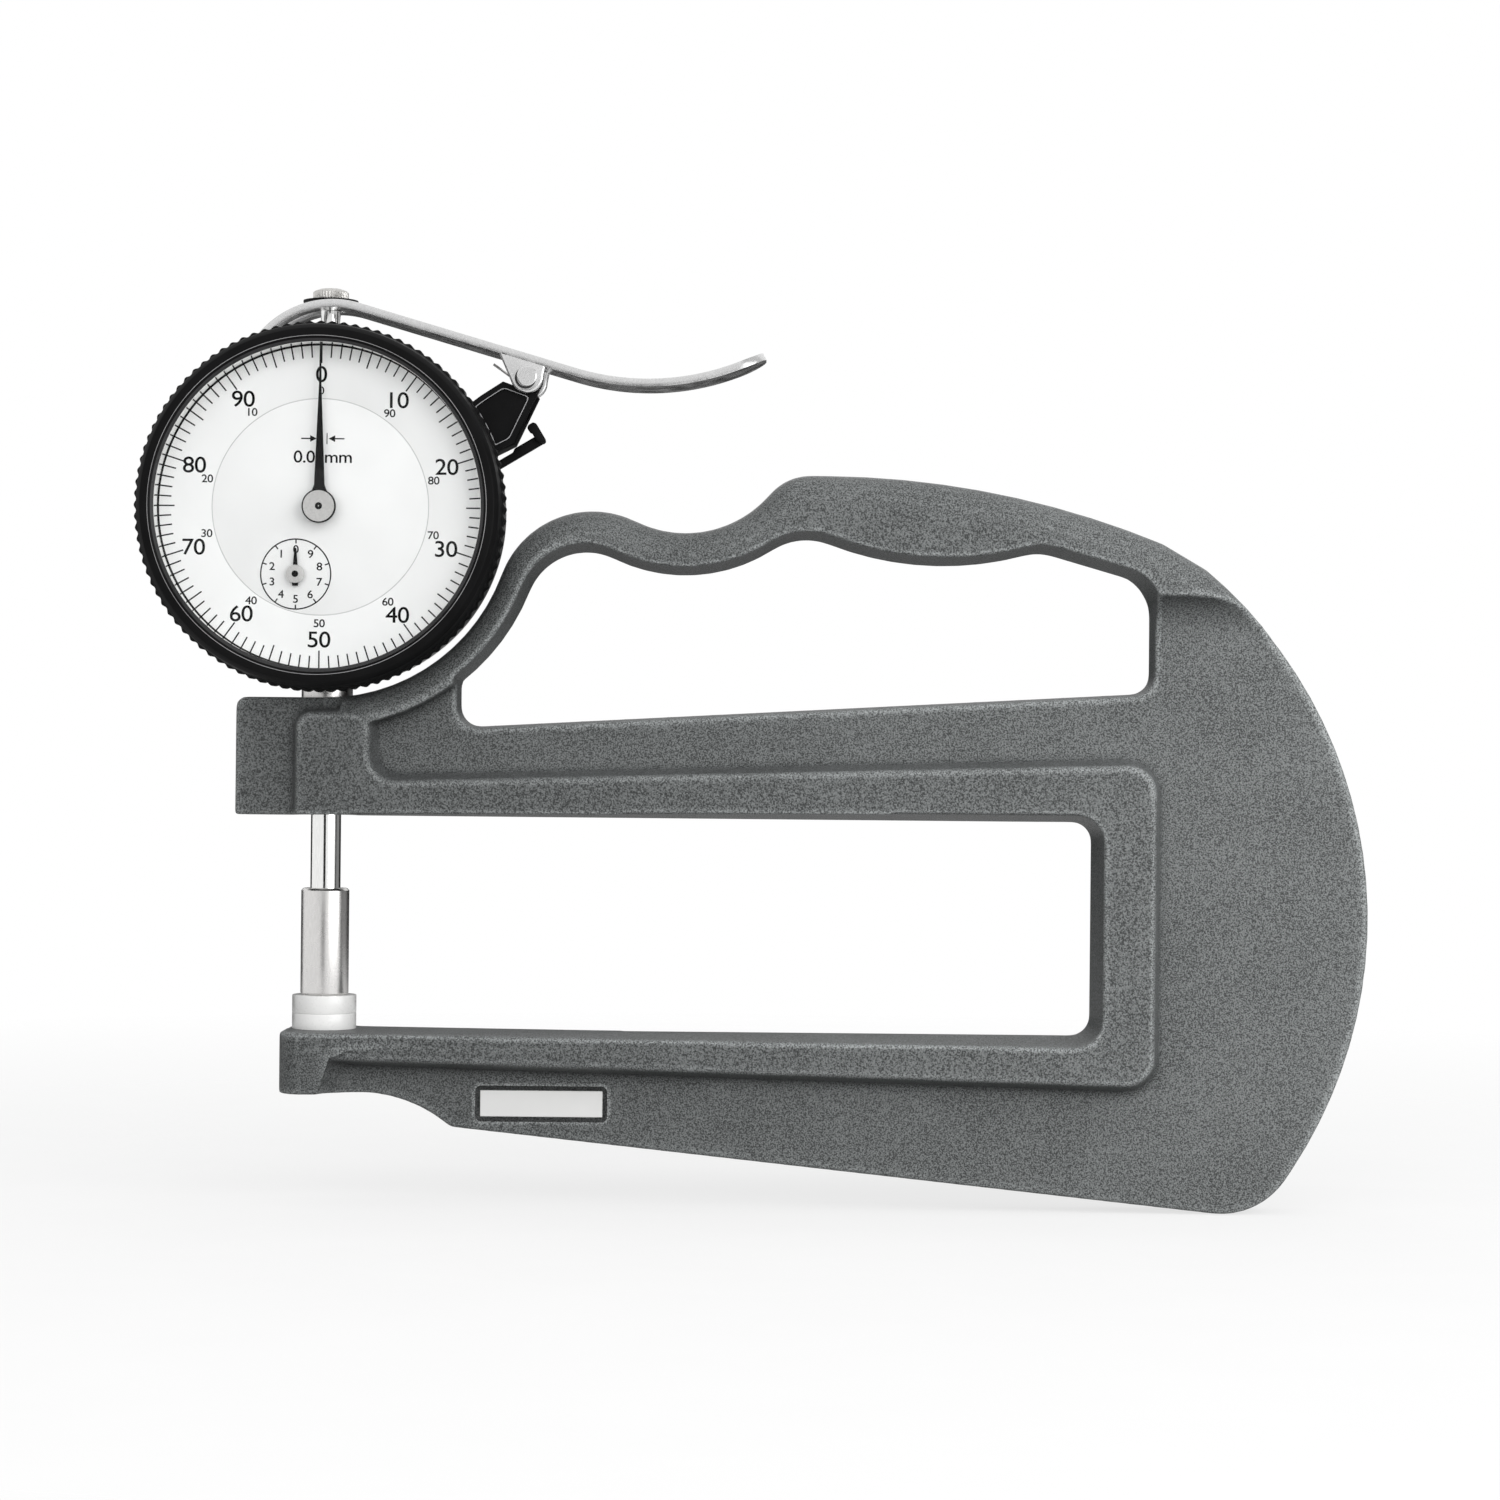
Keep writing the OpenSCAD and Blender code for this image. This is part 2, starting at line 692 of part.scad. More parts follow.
module back_cover() color("silver") difference() {
    slab(-case_back, cover_t - case_back) circle(cover_r - 2 * seat_fit);
    cover_screw_places(-case_back - over) {
        cylinder(d = cover_screw_d + 2 * seat_fit, h = cover_t + 2 * over);
        cylinder(d = cover_screw_head + 2 * seat_fit, h = over + cover_t / 2);
    }
}

module back_cover_screws() color("gainsboro") cover_screw_places(-case_back) {
    difference() {
        cylinder(d = cover_screw_head, h = cover_t / 2);
        translate([-cover_screw_head, -slot_w / 2, -over])
            cube([2 * cover_screw_head, slot_w, over + slot_depth]);
    }
    translate([0, 0, cover_t / 2]) cylinder(d = cover_screw_d, h = cover_t / 2 + cover_screw_len);
}

module stem() color("silver") difference() {
    translate([0, 0, stem_low]) cylinder(d = stem_d, h = stem_high - stem_low);
    translate([0, 0, stem_low - over])
        cylinder(d = plunger_d + 2 * run_fit, h = stem_high - stem_low + 2 * over);
}

module upper_bush() color("silver") difference() {
    union() {
        translate([0, 0, bush_low]) cylinder(d = bush_d, h = bush_high - bush_low);
        translate([0, 0, bush_high - bush_flange_h]) cylinder(d = bush_flange_d, h = bush_flange_h);
    }
    translate([0, 0, bush_low - over]) cylinder(d = neck_d + 2 * run_fit, h = bezel_r);
}

module pin_guide() color("goldenrod") difference() {
    low = guide_pin_z - 2.5;
    height = guide_len + 1;
    translate([-guide_w / 2, -guide_front, low])
        cube([guide_w, case_back - cover_t + guide_front, height]);
    translate([-guide_pin_d / 2 - run_fit, 0, guide_pin_z - guide_pin_d / 2 - 0.5])
        cube([guide_pin_d + 2 * run_fit, case_back, height + over]);
}

// Movement plates
module plate_blank() intersection() {
    circle(plate_r);
    square([2 * plate_r, 2 * plate_flat], center = true);
}

module pillar_places() for (p = pillar_spots) translate(p) children();

module train_holes(centre, side) {
    circle(d = centre);
    translate([counter_x, counter_y]) circle(d = side);
    translate([-counter_x, -counter_y]) circle(d = side);
}

module rear_plate() color("goldenrod") slab(rear_plate_back, rear_plate_front) difference() {
    plate_blank();
    train_holes(arbor_d + 2 * run_fit, arbor_d + 2 * run_fit);
    pillar_places() circle(d = screw_d + 2 * seat_fit);
}

module front_plate() color("goldenrod") slab(front_plate_back, front_plate_front) difference() {
    circle(plate_r - 1.5);
    train_holes(arbor_d + 2 * run_fit, arbor_d + 2 * run_fit);
    pillar_places() circle(d = screw_d + 2 * seat_fit);
    for (a = dial_feet) translate(dial_foot_r * vec(a)) circle(d = dial_foot_d - 0.6 + 2 * seat_fit);
}

module plate_pillars() color("silver") slab(rear_plate_front, front_plate_back)
    pillar_places() difference() {
        circle(d = pillar_d);
        circle(d = screw_d + 2 * seat_fit);
    }

module plate_screws() color("steelblue") {
    slab(rear_plate_back, front_plate_front) pillar_places() circle(d = screw_d);
    on_dial(front_plate_front) pillar_places() difference() {
        cylinder(d = screw_head_d, h = screw_head_h);
        translate([-screw_head_d, -slot_w / 2, screw_head_h - slot_depth])
            cube([2 * screw_head_d, slot_w, over]);
    }
}

module centre_dial() color("white") {
    slab(dial_front - ring_t, dial_front) difference() {
        circle(dial_r);
        circle(d = arbor_d + 0.8);
        translate([counter_x, counter_y]) circle(d = arbor_d + 0.6);
    }
    slab(front_plate_front, dial_front - ring_t)
        for (a = dial_feet) translate(dial_foot_r * vec(a)) circle(d = dial_foot_d);
    slab(front_plate_back + 0.2, front_plate_front)
        for (a = dial_feet) translate(dial_foot_r * vec(a)) circle(d = dial_foot_d - 0.6);
}

// Springs
function spiral_point(i, steps, offset) =
    (spiral_in + (spiral_out - spiral_in) * i / steps + offset) * vec(360 * spiral_turns * i / steps);

module hairspring() color("slategray") slab(spiral_back, spiral_back + spiral_w) {
    steps = spiral_turns * 20;
    translate([-counter_x, -counter_y]) polygon(concat(
        [for (i = [0 : steps]) spiral_point(i, steps, 0)],
        [for (i = [steps : -1 : 0]) spiral_point(i, steps, spiral_t)]));
}

module hairspring_stud() color("goldenrod") slab(spiral_back - 0.1, front_plate_back)
    translate([-counter_x + spiral_out + spiral_t, -counter_y]) square(stud_size);

module bezel_spring() color("silver") on_dial(groove_mid) rotate_extrude()
    translate([seat_r - groove_depth + wire_d / 2 + 0.02, 0]) circle(d = wire_d);

module plunger_spring() color("lightsteelblue") {
    wire = 0.4;
    turns = 9;
    coil = neck_d / 2 + 0.2 + wire / 2;
    low = neck_low + wire / 2 + 0.02;
    rise = spring_room - wire - 0.04;
    sweep([for (i = [0 : turns * 12]) let (a = i * 30)
        [coil * cos(a), coil * sin(a), low + rise * i / (turns * 12)]], wire);
}

module lever_spring() color("silver") {
    turns = 2;
    gap = 0.1;
    start = -lug_w / 2 - 0.15 - spring_wire / 2;
    coil = [for (i = [0 : turns * 12]) let (a = 210 + i * 30)
        [pivot_c.x + coil_r * cos(a), start - (spring_wire + gap) * i / 12, pivot_c.y + coil_r * sin(a)]];
    leg = [pivot_c.x - 5.4, start, pivot_c.y + 2.1];
    sweep(concat([leg], coil), spring_wire);
}

// Spindle
function rack_comb() =
    let (lead = 3, teeth = ceil((stroke + 4) / rack_pitch), tip = rack_line - 0.9 * rack_module,
         root = rack_line + 1.15 * rack_module, half = 0.21 * rack_pitch, lean = tan(20),
         tip_half = half - lean * 0.9 * rack_module, root_half = half + lean * 1.15 * rack_module,
         top = lead * rack_pitch, bottom = top - (teeth + 0.5) * rack_pitch)
    concat(
        [[-plunger_d, top], [tip, top]],
        [for (i = [0 : teeth - 1]) let (z = top - (i + 0.5) * rack_pitch) each [
            [tip, z + tip_half], [tip, z - tip_half],
            [root, z - root_half], [root, z - rack_pitch + root_half]]],
        [[-plunger_d, bottom - rack_pitch + root_half + 0.5 * rack_pitch]]);

module plunger() color("gainsboro") {
    difference() {
        translate([0, 0, sleeve_top]) cylinder(d = plunger_d, h = neck_low - sleeve_top);
        translate([0, plunger_d, counter_z]) rotate([90, 0, 0]) linear_extrude(2 * plunger_d)
            polygon(rack_comb());
        translate([0, 0, guide_pin_z]) rotate([-90, 0, 0])
            cylinder(d = guide_pin_d + 2 * seat_fit, h = plunger_d);
    }
    translate([0, 0, neck_low])
        cylinder(d = neck_d, h = washer_low + washer_t + cap_bore_h - neck_low - 0.1);
    translate([0, 0, sleeve_top - spigot_len]) cylinder(d = spigot_d, h = spigot_len);
}

module guide_pin() color("gray") translate([0, 0, guide_pin_z]) rotate([-90, 0, 0])
    cylinder(d = guide_pin_d, h = case_back - cover_t - 0.4);

module contact_sleeve() color("silver") difference() {
    translate([0, 0, tip_h]) cylinder(d = sleeve_d, h = sleeve_top - tip_h);
    translate([0, 0, sleeve_top - spigot_len - 0.3])
        cylinder(d = spigot_d + 2 * seat_fit, h = spigot_len + over);
    translate([0, 0, tip_h - over])
        cylinder(d = tip_boss_d + 2 * seat_fit, h = tip_boss_h + 0.2 + over);
}

module contact_tip() color("ivory") {
    cylinder(d = face_d, h = tip_h);
    translate([0, 0, tip_h]) cylinder(d = tip_boss_d, h = tip_boss_h);
}

module lift_washer() color("dimgray") translate([0, 0, washer_low]) difference() {
    cylinder(d = washer_d, h = washer_t);
    translate([0, 0, -over]) cylinder(d = neck_d + 2 * seat_fit, h = washer_t + 2 * over);
}

module lift_cap() color("silver") translate([0, 0, washer_low + washer_t]) difference() {
    rotate_extrude() polygon([[0, 0], [cap_d / 2, 0], [cap_d / 2, cap_h - cap_chamfer],
        [cap_d / 2 - cap_chamfer, cap_h], [0, cap_h]]);
    translate([0, 0, -over]) cylinder(d = neck_d + 2 * seat_fit, h = cap_bore_h + over);
}

// Lifting lever
function lever_side() =
    let (crest_end = 90 - lever_slope, thumb_start = -90 - lever_slope)
    concat(
        arc_points(arc(lever_crest_c, lever_crest_r, fork_side, crest_end), 0),
        arc_points(arc(thumb_c, thumb_r, thumb_start, thumb_side), 0),
        arc_points(arc(thumb_c, thumb_r + lever_t, thumb_side, thumb_start), 0),
        arc_points(arc(lever_crest_c, lever_crest_r - lever_t, crest_end, fork_side), 0));

module upright(half) translate([0, half, 0]) rotate([90, 0, 0]) linear_extrude(2 * half) children();

module lever() color("lightgray") {
    left = lever_crest_c.x + lever_crest_r * cos(fork_side);
    right = thumb_c.x + thumb_r * cos(thumb_side);
    half = lever_w / 2;
    difference() {
        intersection() {
            upright(half) polygon(lever_side());
            translate([0, 0, dial_z]) linear_extrude(2 * bezel_d) {
                translate([left - over, -half]) square([right - half - left + over, lever_w]);
                translate([right - half, 0]) circle(half);
            }
        }
        translate([left - over, -fork_slot / 2, dial_z])
            cube([fork_end - left + over, fork_slot, 2 * bezel_d]);
        translate([pivot_c.x - window, -half + ear_t, dial_z])
            cube([2 * window, lever_w - 2 * ear_t, 2 * bezel_d]);
    }
    for (side = [-1, 1]) translate([0, side * (half - ear_t / 2), 0]) difference() {
        upright(ear_t / 2) lever_ear();
        translate([pivot_c.x, 0, pivot_c.y]) rotate([90, 0, 0])
            cylinder(d = pivot_d + 2 * seat_fit, h = 2 * ear_t, center = true);
    }
}

module lever_ear() {
    plate_start = lever_crest_c + (lever_crest_r - lever_t / 2) * vec(90 - lever_slope);
    plate_mid = meet(plate_start, -lever_slope, pivot_c, 90);
    polygon(concat(
        arc_points(arc(pivot_c, ear_r, 180 + ear_turn, 360), 0),
        [plate_mid + ear_right * vec(-lever_slope), plate_mid - ear_left * vec(-lever_slope)]));
}

module pivot_pin() color("silver") translate([pivot_c.x, 0, pivot_c.y]) rotate([90, 0, 0]) {
    cylinder(d = pivot_d, h = lever_w, center = true);
    for (side = [-1, 1]) translate([0, 0, side * (lever_w + pin_head_t) / 2])
        cylinder(d = pin_head_d, h = pin_head_t, center = true);
}

module holder_side() difference() {
    polygon(concat(
        [for (i = [0 : 8])
            dial_c + holder_base * vec(holder_low + (holder_high - holder_low) * i / 8)],
        [dial_c + (holder_base + holder_rise) * vec(holder_high),
         pivot_c - [holder_top_x, holder_top_z],
         pivot_c + [holder_nose_x, -holder_nose_z],
         pivot_c - [holder_foot_x, holder_foot_z]]));
    translate(dial_c) circle(holder_base);
}

module lever_holder() color("black") difference() {
    union() {
        upright(holder_w / 2) holder_side();
        upright(lug_w / 2) {
            translate(pivot_c) circle(lug_r);
            polygon([pivot_c + lug_r * vec(170), pivot_c - [lug_lean, lug_foot],
                pivot_c - [0, lug_foot + lug_r / 2], pivot_c + lug_r * vec(-10)]);
        }
    }
    for (side = [-1, 1]) translate([0, side * holder_w / 2, 0])
        upright(holder_recess) offset(delta = -holder_border) holder_side();
    upright(holder_w) translate(pivot_c) circle(d = pivot_d + 2 * run_fit);
    on_radius(holder_screw_side, case_r - over)
        cylinder(d = holder_screw_d + 2 * seat_fit, h = bezel_r);
    on_radius(holder_screw_side, case_r + holder_seat)
        cylinder(d = holder_head_d + 2 * seat_fit, h = bezel_r);
}

module holder_screw() color("dimgray") on_radius(holder_screw_side) difference() {
    union() {
        translate([0, 0, bore_r + holder_screw_gap])
            cylinder(d = holder_screw_d, h = case_wall + holder_seat - holder_screw_gap);
        translate([0, 0, case_r + holder_seat]) cylinder(d = holder_head_d, h = holder_head_h);
    }
    translate([0, 0, case_r + holder_seat + holder_head_h / 2])
        cylinder(d = holder_head_d / 2, h = over, $fn = 6);
}

// Bezel group
module bezel() color("black") difference() {
    step_r = bezel_r - bezel_step;
    union() {
        slab(bezel_back, scallop_front) difference() {
            polygon([for (i = [0 : 2 * bezel_scallops - 1])
                (bezel_r - (i % 2) * scallop_depth) * vec(180 * i / bezel_scallops)]);
            circle(seat_r + run_fit);
        }
        ring([[seat_r + run_fit, scallop_front - over], [step_r, scallop_front - over],
            [step_r, scallop_front], [step_r - bezel_lean, bezel_front - bezel_chamfer],
            [step_r - bezel_lean - bezel_chamfer, bezel_front], [lip_r, bezel_front],
            [lip_r, crystal_front], [seat_r + run_fit, crystal_front]]);
    }
    on_dial(groove_mid - groove_w / 2) difference() {
        cylinder(r = seat_r + groove_depth, h = groove_w);
        translate([0, 0, -over]) cylinder(r = seat_r - over, h = groove_w + 2 * over);
    }
}

module crystal() color("lightcyan", 0.3) slab(crystal_back, crystal_front) circle(seat_r);

module spacer_ring() color("silver") ring([
    [lip_r - spacer_lean, dial_front], [seat_r, dial_front],
    [seat_r, crystal_back], [lip_r + spacer_lean, crystal_back]]);

module scale_ring() color("white") slab(dial_front - ring_t, dial_front) difference() {
    circle(seat_r);
    circle(dial_r + dial_gap);
}

// Pointer, counter and take-up trains
module arbor(centre, from, to, d = arbor_d) slab(from, to) translate(centre) circle(d = d);

module wheel(turn, centre) {
    slab(wheel_back, wheel_back + wheel_t) translate(centre) difference() {
        rotate(turn) polygon(gear_points(wheel_teeth, tooth_module));
        circle(d = arbor_d + 2 * seat_fit);
        for (i = [0 : 3]) rotate(45 + 90 * i) translate([5.2, 0]) circle(d = 4.4);
    }
    slab(wheel_back + wheel_t, wheel_back + wheel_t + 0.2) translate(centre) difference() {
        circle(d = hub_d - 0.2);
        circle(d = arbor_d + 2 * seat_fit);
    }
}

// Tapered hand that points up, from its width at the axis to its width at the tip
module blade(root, point, length)
    polygon([[-root / 2, 0], [root / 2, 0], [point / 2, length], [-point / 2, length]]);

module pointer() color("black") slab(pointer_back, pointer_back + pointer_t) difference() {
    union() {
        circle(d = pointer_hub_d - 0.4);
        blade(pointer_w, pointer_point_w, pointer_tip);
    }
    circle(d = arbor_d + 2 * seat_fit);
}

module centre_arbor() color("silver") {
    arbor([0, 0], rear_plate_back + 0.1, pointer_back + pointer_t);
    slab(wheel_back - 0.3, wheel_back + wheel_t + 0.6)
        rotate(train_angle + 180 / pinion_teeth) polygon(gear_points(pinion_teeth, tooth_module));
    slab(pointer_back + pointer_t, pointer_back + pointer_hub_h) circle(d = pointer_hub_d);
}

module counter_arbor() color("silver") {
    place = [counter_x, counter_y];
    arbor(place, -rack_face / 2, hand_back + hand_t);
    slab(-rack_face / 2, rack_face / 2) translate(place) polygon(gear_points(rack_teeth, rack_module));
    slab(rack_face / 2, rear_plate_back - 0.1) translate(place) circle(d = 1.8);
    slab(rear_plate_front + 0.1, wheel_back) translate(place) circle(d = hub_d);
}

module counter_gear() color("goldenrod") wheel(train_angle, [counter_x, counter_y]);

module counter_hand() color("black") {
    place = [counter_x, counter_y];
    slab(hand_back, hand_back + hand_t) translate(place) difference() {
        union() {
            circle(d = hand_hub_d - 0.6);
            blade(hand_w, hand_point_w, hand_tip);
            rotate(180) blade(hand_point_w, hand_tail_w, hand_tail);
        }
        circle(d = arbor_d + 2 * seat_fit);
    }
    slab(hand_back + hand_t, hand_back + hand_t + 0.3) translate(place) circle(d = hand_hub_d - 0.6);
}

module takeup_arbor() color("silver") {
    place = [-counter_x, -counter_y];
    arbor(place, rear_plate_back + 0.1, front_plate_front - 0.2);
    slab(rear_plate_front + 0.1, wheel_back) translate(place) circle(d = hub_d);
    slab(wheel_back + wheel_t + 0.2, front_plate_back - 0.1) translate(place) circle(d = hub_d - 0.2);
}

module takeup_gear() color("goldenrod") wheel(train_angle + 180, [-counter_x, -counter_y]);

// Bezel clamp
module clamp_axis(along = 0) translate([clamp_arm_x, 0, dial_z + clamp_arm_dz])
    rotate([0, 90 - clamp_arm_slope, 0]) translate([0, 0, along]) children();

module bezel_clamp() color("black") clamp_axis() {
    cylinder(d = clamp_arm_d, h = clamp_arm_len);
    translate([-tab_len, -tab_w / 2, clamp_arm_len - tab_t]) cube([tab_len, tab_w, tab_t]);
    translate([-tab_len, -tab_w / 2, clamp_arm_len - tab_t - tab_lip])
        cube([tab_lip_t, tab_w, tab_t + tab_lip]);
}

frame();
label_plate();
anvil_tip();
anvil_shank();
clamp_screw();
clamp_pad();
case();
stem();
upper_bush();
back_cover();
back_cover_screws();
pin_guide();
rear_plate();
front_plate();
plate_pillars();
plate_screws();
centre_dial();
hairspring();
hairspring_stud();
bezel_spring();
plunger_spring();
lever_holder();
holder_screw();
lever_spring();
plunger();
guide_pin();
contact_sleeve();
contact_tip();
lift_washer();
lift_cap();
lever();
pivot_pin();
bezel();
crystal();
spacer_ring();
scale_ring();
pointer();
centre_arbor();
counter_arbor();
counter_gear();
counter_hand();
takeup_arbor();
takeup_gear();
bezel_clamp();
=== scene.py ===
"""Looks of the dial thickness gauge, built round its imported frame."""

import json
import logging
import math
from dataclasses import dataclass
from enum import Enum
from functools import cached_property
from typing import Sequence

import bmesh
import bpy
from mathutils import Matrix, Vector

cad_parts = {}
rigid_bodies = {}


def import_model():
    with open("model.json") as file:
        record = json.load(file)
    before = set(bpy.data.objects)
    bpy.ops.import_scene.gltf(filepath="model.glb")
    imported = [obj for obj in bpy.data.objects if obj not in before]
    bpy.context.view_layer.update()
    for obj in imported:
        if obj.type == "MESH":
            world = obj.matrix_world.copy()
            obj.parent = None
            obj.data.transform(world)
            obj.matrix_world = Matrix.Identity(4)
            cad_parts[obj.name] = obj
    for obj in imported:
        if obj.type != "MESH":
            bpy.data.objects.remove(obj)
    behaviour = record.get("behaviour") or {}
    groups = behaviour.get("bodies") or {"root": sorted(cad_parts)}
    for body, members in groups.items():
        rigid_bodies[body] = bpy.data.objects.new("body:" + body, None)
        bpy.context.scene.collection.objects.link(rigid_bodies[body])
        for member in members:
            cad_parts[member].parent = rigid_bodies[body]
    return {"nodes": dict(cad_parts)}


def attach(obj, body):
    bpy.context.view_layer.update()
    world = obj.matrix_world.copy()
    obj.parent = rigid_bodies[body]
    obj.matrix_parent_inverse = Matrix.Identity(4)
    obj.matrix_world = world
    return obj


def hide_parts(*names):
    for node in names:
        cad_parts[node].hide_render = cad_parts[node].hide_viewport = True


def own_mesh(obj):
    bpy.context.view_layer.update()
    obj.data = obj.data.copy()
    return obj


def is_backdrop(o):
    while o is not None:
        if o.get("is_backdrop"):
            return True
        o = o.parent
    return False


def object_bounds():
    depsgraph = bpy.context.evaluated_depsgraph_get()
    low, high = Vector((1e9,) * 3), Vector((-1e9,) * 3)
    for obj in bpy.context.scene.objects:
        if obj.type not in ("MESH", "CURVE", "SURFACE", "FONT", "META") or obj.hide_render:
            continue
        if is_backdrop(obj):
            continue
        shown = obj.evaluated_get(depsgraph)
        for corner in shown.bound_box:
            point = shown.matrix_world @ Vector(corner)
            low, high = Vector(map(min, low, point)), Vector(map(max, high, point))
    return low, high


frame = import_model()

LOG = logging.getLogger("gauge")
MM = 0.001
DIAL_Z = 78.5
UPRIGHT = Matrix.Rotation(math.radians(90), 4, "X")
DIAL_FRAME = Matrix.Translation((0, 0, DIAL_Z)) @ UPRIGHT
MIDDLE = (66.0, 0.0, 45.0)
ROUND_STEPS = 192
LINE_STEPS = 256
CAPITAL = 0.7
GLYPH_WIDTH = 1.1
GLYPH_WEIGHT = 0.026
EDGE_MARK = "edge_mark"
SURFACE = "Principled BSDF"
OUTPUT = "Material Output"
WHITE = (1, 1, 1, 1)

Mesh = bmesh.types.BMesh
Point = tuple[float, float]
Spot = tuple[float, float, float]
Colour = tuple[float, float, float]


class Body(Enum):
    """Rigid bodies of the frame."""

    FRAME = "body"
    SPINDLE = "spindle"
    LEVER = "lever"
    BEZEL = "bezel"
    POINTER = "pointer"
    COUNTER = "counter"
    CLAMP = "bezel_clamp"


class Graph:
    """Node tree of a material or of the surround."""

    def __init__(self, owner: bpy.types.Material | bpy.types.World) -> None:
        owner.use_nodes = True
        self.tree = owner.node_tree

    @cached_property
    def place(self) -> bpy.types.NodeSocket:
        """Position in the piece's own space."""
        return self.add("ShaderNodeTexCoord").outputs["Object"]

    def add(self, kind: str, values: dict | None = None, **settings) -> bpy.types.Node:
        """Adds a node.

        Args:
            kind: Type name of the node.
            values: Value or source socket of each input that is set.
            **settings: Properties of the node.

        Returns:
            The new node.
        """
        node = self.tree.nodes.new(kind)
        for name, value in settings.items():
            setattr(node, name, value)
        self.feed(node.name, values or {})
        return node

    def feed(self, node: str, values: dict) -> None:
        """Sets or links the inputs of the named node."""
        inputs = self.tree.nodes[node].inputs
        for name, value in values.items():
            if isinstance(value, bpy.types.NodeSocket):
                self.tree.links.new(value, inputs[name])
            else:
                inputs[name].default_value = value

    def noise(self, size: float, detail: float = 2.0, stretch: Sequence[float] = (1, 1, 1)):
        """Noise whose features are about size millimetres wide, drawn out along an axis by stretch."""
        mapping = self.add("ShaderNodeMapping", {"Vector": self.place, "Scale": stretch})
        return self.add(
            "ShaderNodeTexNoise",
            {"Vector": mapping.outputs["Vector"], "Scale": 1 / (size * MM), "Detail": detail},
        ).outputs["Fac"]

    def spread(self, value, low, high, start: float = 0.3, end: float = 0.7):
        """Maps a value from start..end to low..high."""
        return self.add(
            "ShaderNodeMapRange",
            {"Value": value, "From Min": start, "From Max": end, "To Min": low, "To Max": high},
        ).outputs["Result"]

    def combine(self, operation: str, first, second):
        """Result of an operation on two values."""
        return self.add("ShaderNodeMath", {0: first, 1: second}, operation=operation).outputs[0]

    def mix(self, share, first: bpy.types.Node, second: bpy.types.Node) -> bpy.types.Node:
        """Mix of two shaders, with a share of the second."""
        return self.add("ShaderNodeMixShader", {"Fac": share, 1: first.outputs[0], 2: second.outputs[0]})

    def seen(self):
        """One where the camera, glass or metal looks, and nought elsewhere."""
        path = self.add("ShaderNodeLightPath").outputs
        mirror = self.combine("MAXIMUM", path["Is Glossy Ray"], path["Is Transmission Ray"])
        return self.combine("MAXIMUM", path["Is Camera Ray"], mirror)

    def ramp(self, value, stops: Sequence[tuple[float, Colour]]):
        """Colour ramp through the stops."""
        node = self.add("ShaderNodeValToRGB", {"Fac": value})
        elements = node.color_ramp.elements
        for index, (position, colour) in enumerate(stops):
            element = elements[index] if index < 2 else elements.new(position)
            element.position = position
            element.color = (*colour, 1)
        return node.outputs["Color"]

    def bump(self, height, depth: float, strength: float = 1.0, under=None):
        """Bump of a height, whose full swing is depth millimetres."""
        values = {"Height": height, "Distance": depth * MM, "Strength": strength}
        if under is not None:
            values["Normal"] = under
        return self.add("ShaderNodeBump", values).outputs["Normal"]


@dataclass(frozen=True)
class Finish:
    """Finish of a surface.

    Attributes:
        slot: Material slot of the record.
        colour: Base colour, linear.
        roughness: Mean roughness.
    """

    slot: str
    colour: Colour
    roughness: float

    def dress(self, graph: Graph) -> None:
        """Fills in the node tree."""
        raise NotImplementedError

    def material(self) -> bpy.types.Material:
        """Material of this finish, made once."""
        name = f"{self.slot}_{self.colour[0] * 1000:.0f}_{self.roughness * 100:.0f}"
        if name in bpy.data.materials:
            return bpy.data.materials[name]
        material = bpy.data.materials.new(name)
        self.dress(Graph(material))
        return material

    def shades(self, graph: Graph, value, *stops: Point):
        """Ramp through shades of the base colour, from pairs of position and factor."""
        tones = []
        for position, factor in stops:
            tones.append((position, tuple(min(1.0, channel * factor) for channel in self.colour)))
        return graph.ramp(value, tones)

    def rough(self, graph: Graph, value, below: float, above: float):
        """Roughness that strays below and above its mean."""
        return graph.spread(value, self.roughness - below, self.roughness + above)


